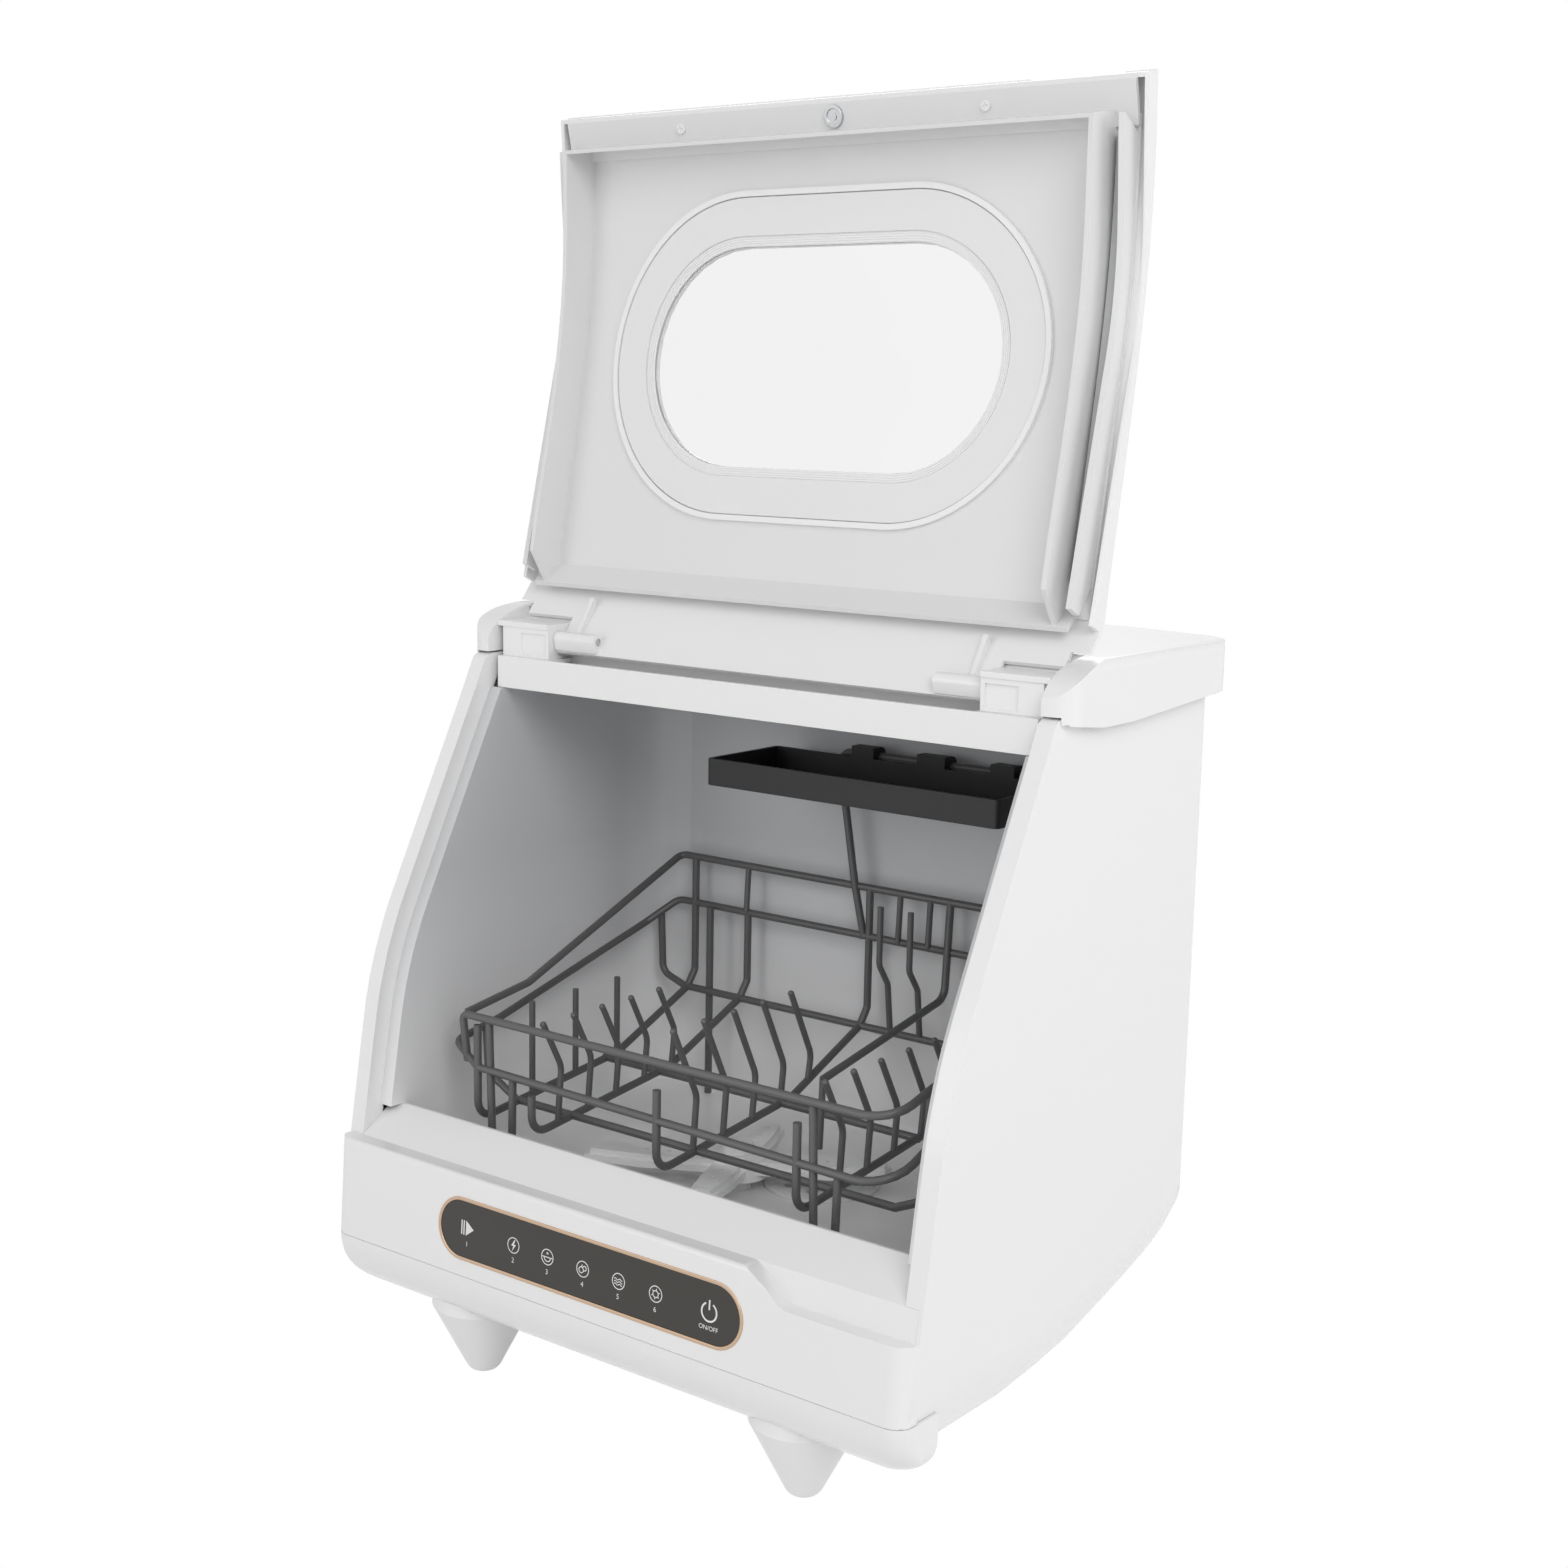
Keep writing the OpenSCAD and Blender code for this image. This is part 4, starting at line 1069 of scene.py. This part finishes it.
class DW_OT_wash_gear(bpy.types.Operator):
    """Make the spray arm, its nut, the filter and the sump, and colour the gear that stays as drawn"""

    bl_idname = "dishwasher.wash_gear"
    bl_label = "Wash Gear"

    def execute(self, context):
        edge = context.scene.dw_housing.edge_round
        for node, name, body, finish, slot, width in (
            ("spray_arm", "four_blade_spray_arm", "spray", "satin white", "white_satin", edge),
            ("hub_nut", "spray_arm_nut", "spray", "ring grey", "pale_grey", edge),
            ("filter_cup", "filter_insert", "filter", "ring grey", "pale_grey", edge * 0.6),
            ("sump", "sump_well", "housing", "ring grey", "pale_grey", edge * 0.6),
        ):
            complete(moulding(node, name, width), finish, slot, body, node)
        for node, finish in (
            ("spray_shaft", "ring grey"),
            ("wash_pump", "black plastic"),
            ("drain_pump", "black plastic"),
            ("pump_impeller", "black plastic"),
            ("fan_impeller", "black plastic"),
            ("fan_housing", "black plastic"),
            ("air_duct", "seal grey"),
            ("heater", "steel"),
            ("hinge_pin_left", "steel"),
            ("hinge_pin_right", "steel"),
            ("wash_hose", "grey rubber"),
            ("drain_hose", "grey rubber"),
            ("inlet_hose", "grey rubber"),
            ("water_tank", "tank plastic"),
            ("power_board", "board green"),
            ("control_board", "board green"),
        ):
            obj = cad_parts[node]
            obj.data.materials.clear()
            obj.data.materials.append(FINISH[finish])
        return {"FINISHED"}


# ---- stage ----

CAMERA_PLACE = (0.7959, -1.0213, 0.5911)  # in metres
CAMERA_TURN = (37.55, 9.87, 1.10)  # degrees to the left, down and rolled
LAMP_AIM = (0, 0, 0.3)


class DW_OT_stage(bpy.types.Operator):
    """Set the camera, the lamps, the world and the floor"""

    bl_idname = "dishwasher.stage"
    bl_label = "Stage"

    def camera(self, scene):
        """The camera that matches the photograph."""
        yaw, pitch, roll = (math.radians(angle) for angle in CAMERA_TURN)
        ahead = Vector((-math.sin(yaw) * math.cos(pitch), math.cos(yaw) * math.cos(pitch), -math.sin(pitch)))
        right = Vector((math.cos(yaw), math.sin(yaw), 0))
        up = right.cross(ahead)
        rolled_right = right * math.cos(roll) + up * math.sin(roll)
        rolled_up = up * math.cos(roll) - right * math.sin(roll)
        data = bpy.data.cameras.new("product_camera")
        data.sensor_width, data.lens = 36.0, scene.dw_stage.focal
        data.clip_start = 0.01
        camera = bpy.data.objects.new("product_camera", data)
        turn = Matrix((rolled_right, rolled_up, -ahead)).transposed().to_4x4()
        camera.matrix_world = Matrix.Translation(CAMERA_PLACE) @ turn
        scene.collection.objects.link(camera)
        scene.camera = camera

    def show(self, tree, shown, lighting, output):
        """Gives one shader to the camera, its gloss and its glass, and the other to all other light."""
        nodes, links = tree.nodes, tree.links
        path = nodes.new("ShaderNodeLightPath")
        seen = path.outputs["Is Camera Ray"]
        for way in ("Is Glossy Ray", "Is Transmission Ray"):
            seen = calculated(tree, "MAXIMUM", seen, path.outputs[way])
        mix = nodes.new("ShaderNodeMixShader")
        links.new(seen, mix.inputs[0])
        links.new(lighting.outputs[0], mix.inputs[1])
        links.new(shown.outputs[0], mix.inputs[2])
        links.new(mix.outputs[0], output.inputs["Surface"])

    def world(self, scene):
        """White to look at, and a softer white to light with."""
        scene.world = bpy.data.worlds.new("studio")
        scene.world.use_nodes = True
        nodes = scene.world.node_tree.nodes
        nodes.clear()
        output = nodes.new("ShaderNodeOutputWorld")
        shown, fill = nodes.new("ShaderNodeBackground"), nodes.new("ShaderNodeBackground")
        shown.inputs["Color"].default_value = (1, 1, 1, 1)
        shown.inputs["Strength"].default_value = 1.0
        fill.inputs["Color"].default_value = (1, 1, 1, 1)
        fill.inputs["Strength"].default_value = 0.62 * scene.dw_stage.lamp_level
        self.show(scene.world.node_tree, shown, fill, output)

    def floor(self):
        """A plane that looks white and throws its light back."""
        only(None)
        bpy.ops.mesh.primitive_plane_add(size=14, location=(0, 0, -0.0005))
        floor = bpy.context.object
        floor.name = "studio_floor"
        mat = bpy.data.materials.new("studio floor")
        mat.use_nodes = True
        nodes = mat.node_tree.nodes
        nodes.clear()
        output = nodes.new("ShaderNodeOutputMaterial")
        paint, glow = nodes.new("ShaderNodeBsdfDiffuse"), nodes.new("ShaderNodeEmission")
        paint.inputs["Color"].default_value = (0.9, 0.9, 0.9, 1)
        glow.inputs["Color"].default_value = (1, 1, 1, 1)
        self.show(mat.node_tree, glow, paint, output)
        floor.data.materials.append(mat)

    def lamp(self, scene, name, where, size, power):
        """A soft area lamp aimed at the dishwasher."""
        data = bpy.data.lights.new(name, "AREA")
        data.shape, data.size, data.energy = "DISK", size, power
        obj = bpy.data.objects.new(name, data)
        obj.location = where
        obj.rotation_euler = (Vector(LAMP_AIM) - Vector(where)).to_track_quat("-Z", "Y").to_euler()
        scene.collection.objects.link(obj)

    def execute(self, context):
        scene = context.scene
        self.camera(scene)
        self.world(scene)
        self.floor()
        for name, where, size, power in (
            ("key", (1.9, -1.5, 1.9), 1.6, 32),
            ("side", (2.2, 0.6, 1.0), 1.6, 13),
            ("front", (-0.8, -2.3, 0.9), 1.6, 14),
            ("back", (-1.2, 2.0, 1.6), 1.4, 7),
        ):
            self.lamp(scene, name, where, size, power * scene.dw_stage.lamp_level)
        scene.view_settings.view_transform = "Standard"
        return {"FINISHED"}


class DW_PT_panel(bpy.types.Panel):
    """The dishwasher's pieces, in the order they are made"""

    bl_idname = "DW_PT_panel"
    bl_label = "Countertop Dishwasher"
    bl_space_type = "VIEW_3D"
    bl_region_type = "UI"
    bl_category = "Dishwasher"

    def draw(self, context):
        scene = context.scene
        for group in (scene.dw_housing, scene.dw_lid, scene.dw_rack, scene.dw_panel, scene.dw_stage):
            box = self.layout.box()
            for key in type(group).__annotations__:
                box.prop(group, key)
        for operator in OPERATORS:
            self.layout.operator(operator.bl_idname)


OPERATORS = (
    DW_OT_stage,
    DW_OT_finishes,
    DW_OT_housing,
    DW_OT_touch_panel,
    DW_OT_lid,
    DW_OT_rack,
    DW_OT_shelf,
    DW_OT_wash_gear,
)
SETTINGS = (
    ("dw_housing", DW_HousingSettings),
    ("dw_lid", DW_LidSettings),
    ("dw_rack", DW_RackSettings),
    ("dw_panel", DW_PanelSettings),
    ("dw_stage", DW_StageSettings),
)


def register():
    for name, group in SETTINGS:
        bpy.utils.register_class(group)
        setattr(bpy.types.Scene, name, bpy.props.PointerProperty(type=group))
    for operator in OPERATORS:
        bpy.utils.register_class(operator)
    bpy.utils.register_class(DW_PT_panel)


def unregister():
    bpy.utils.unregister_class(DW_PT_panel)
    for operator in reversed(OPERATORS):
        bpy.utils.unregister_class(operator)
    for name, group in reversed(SETTINGS):
        delattr(bpy.types.Scene, name)
        bpy.utils.unregister_class(group)


def main():
    register()
    bpy.ops.dishwasher.stage()
    bpy.ops.dishwasher.finishes()
    bpy.ops.dishwasher.housing()
    bpy.ops.dishwasher.touch_panel()
    bpy.ops.dishwasher.lid()
    bpy.ops.dishwasher.rack()
    bpy.ops.dishwasher.shelf()
    bpy.ops.dishwasher.wash_gear()


if __name__ == "__main__":
    main()
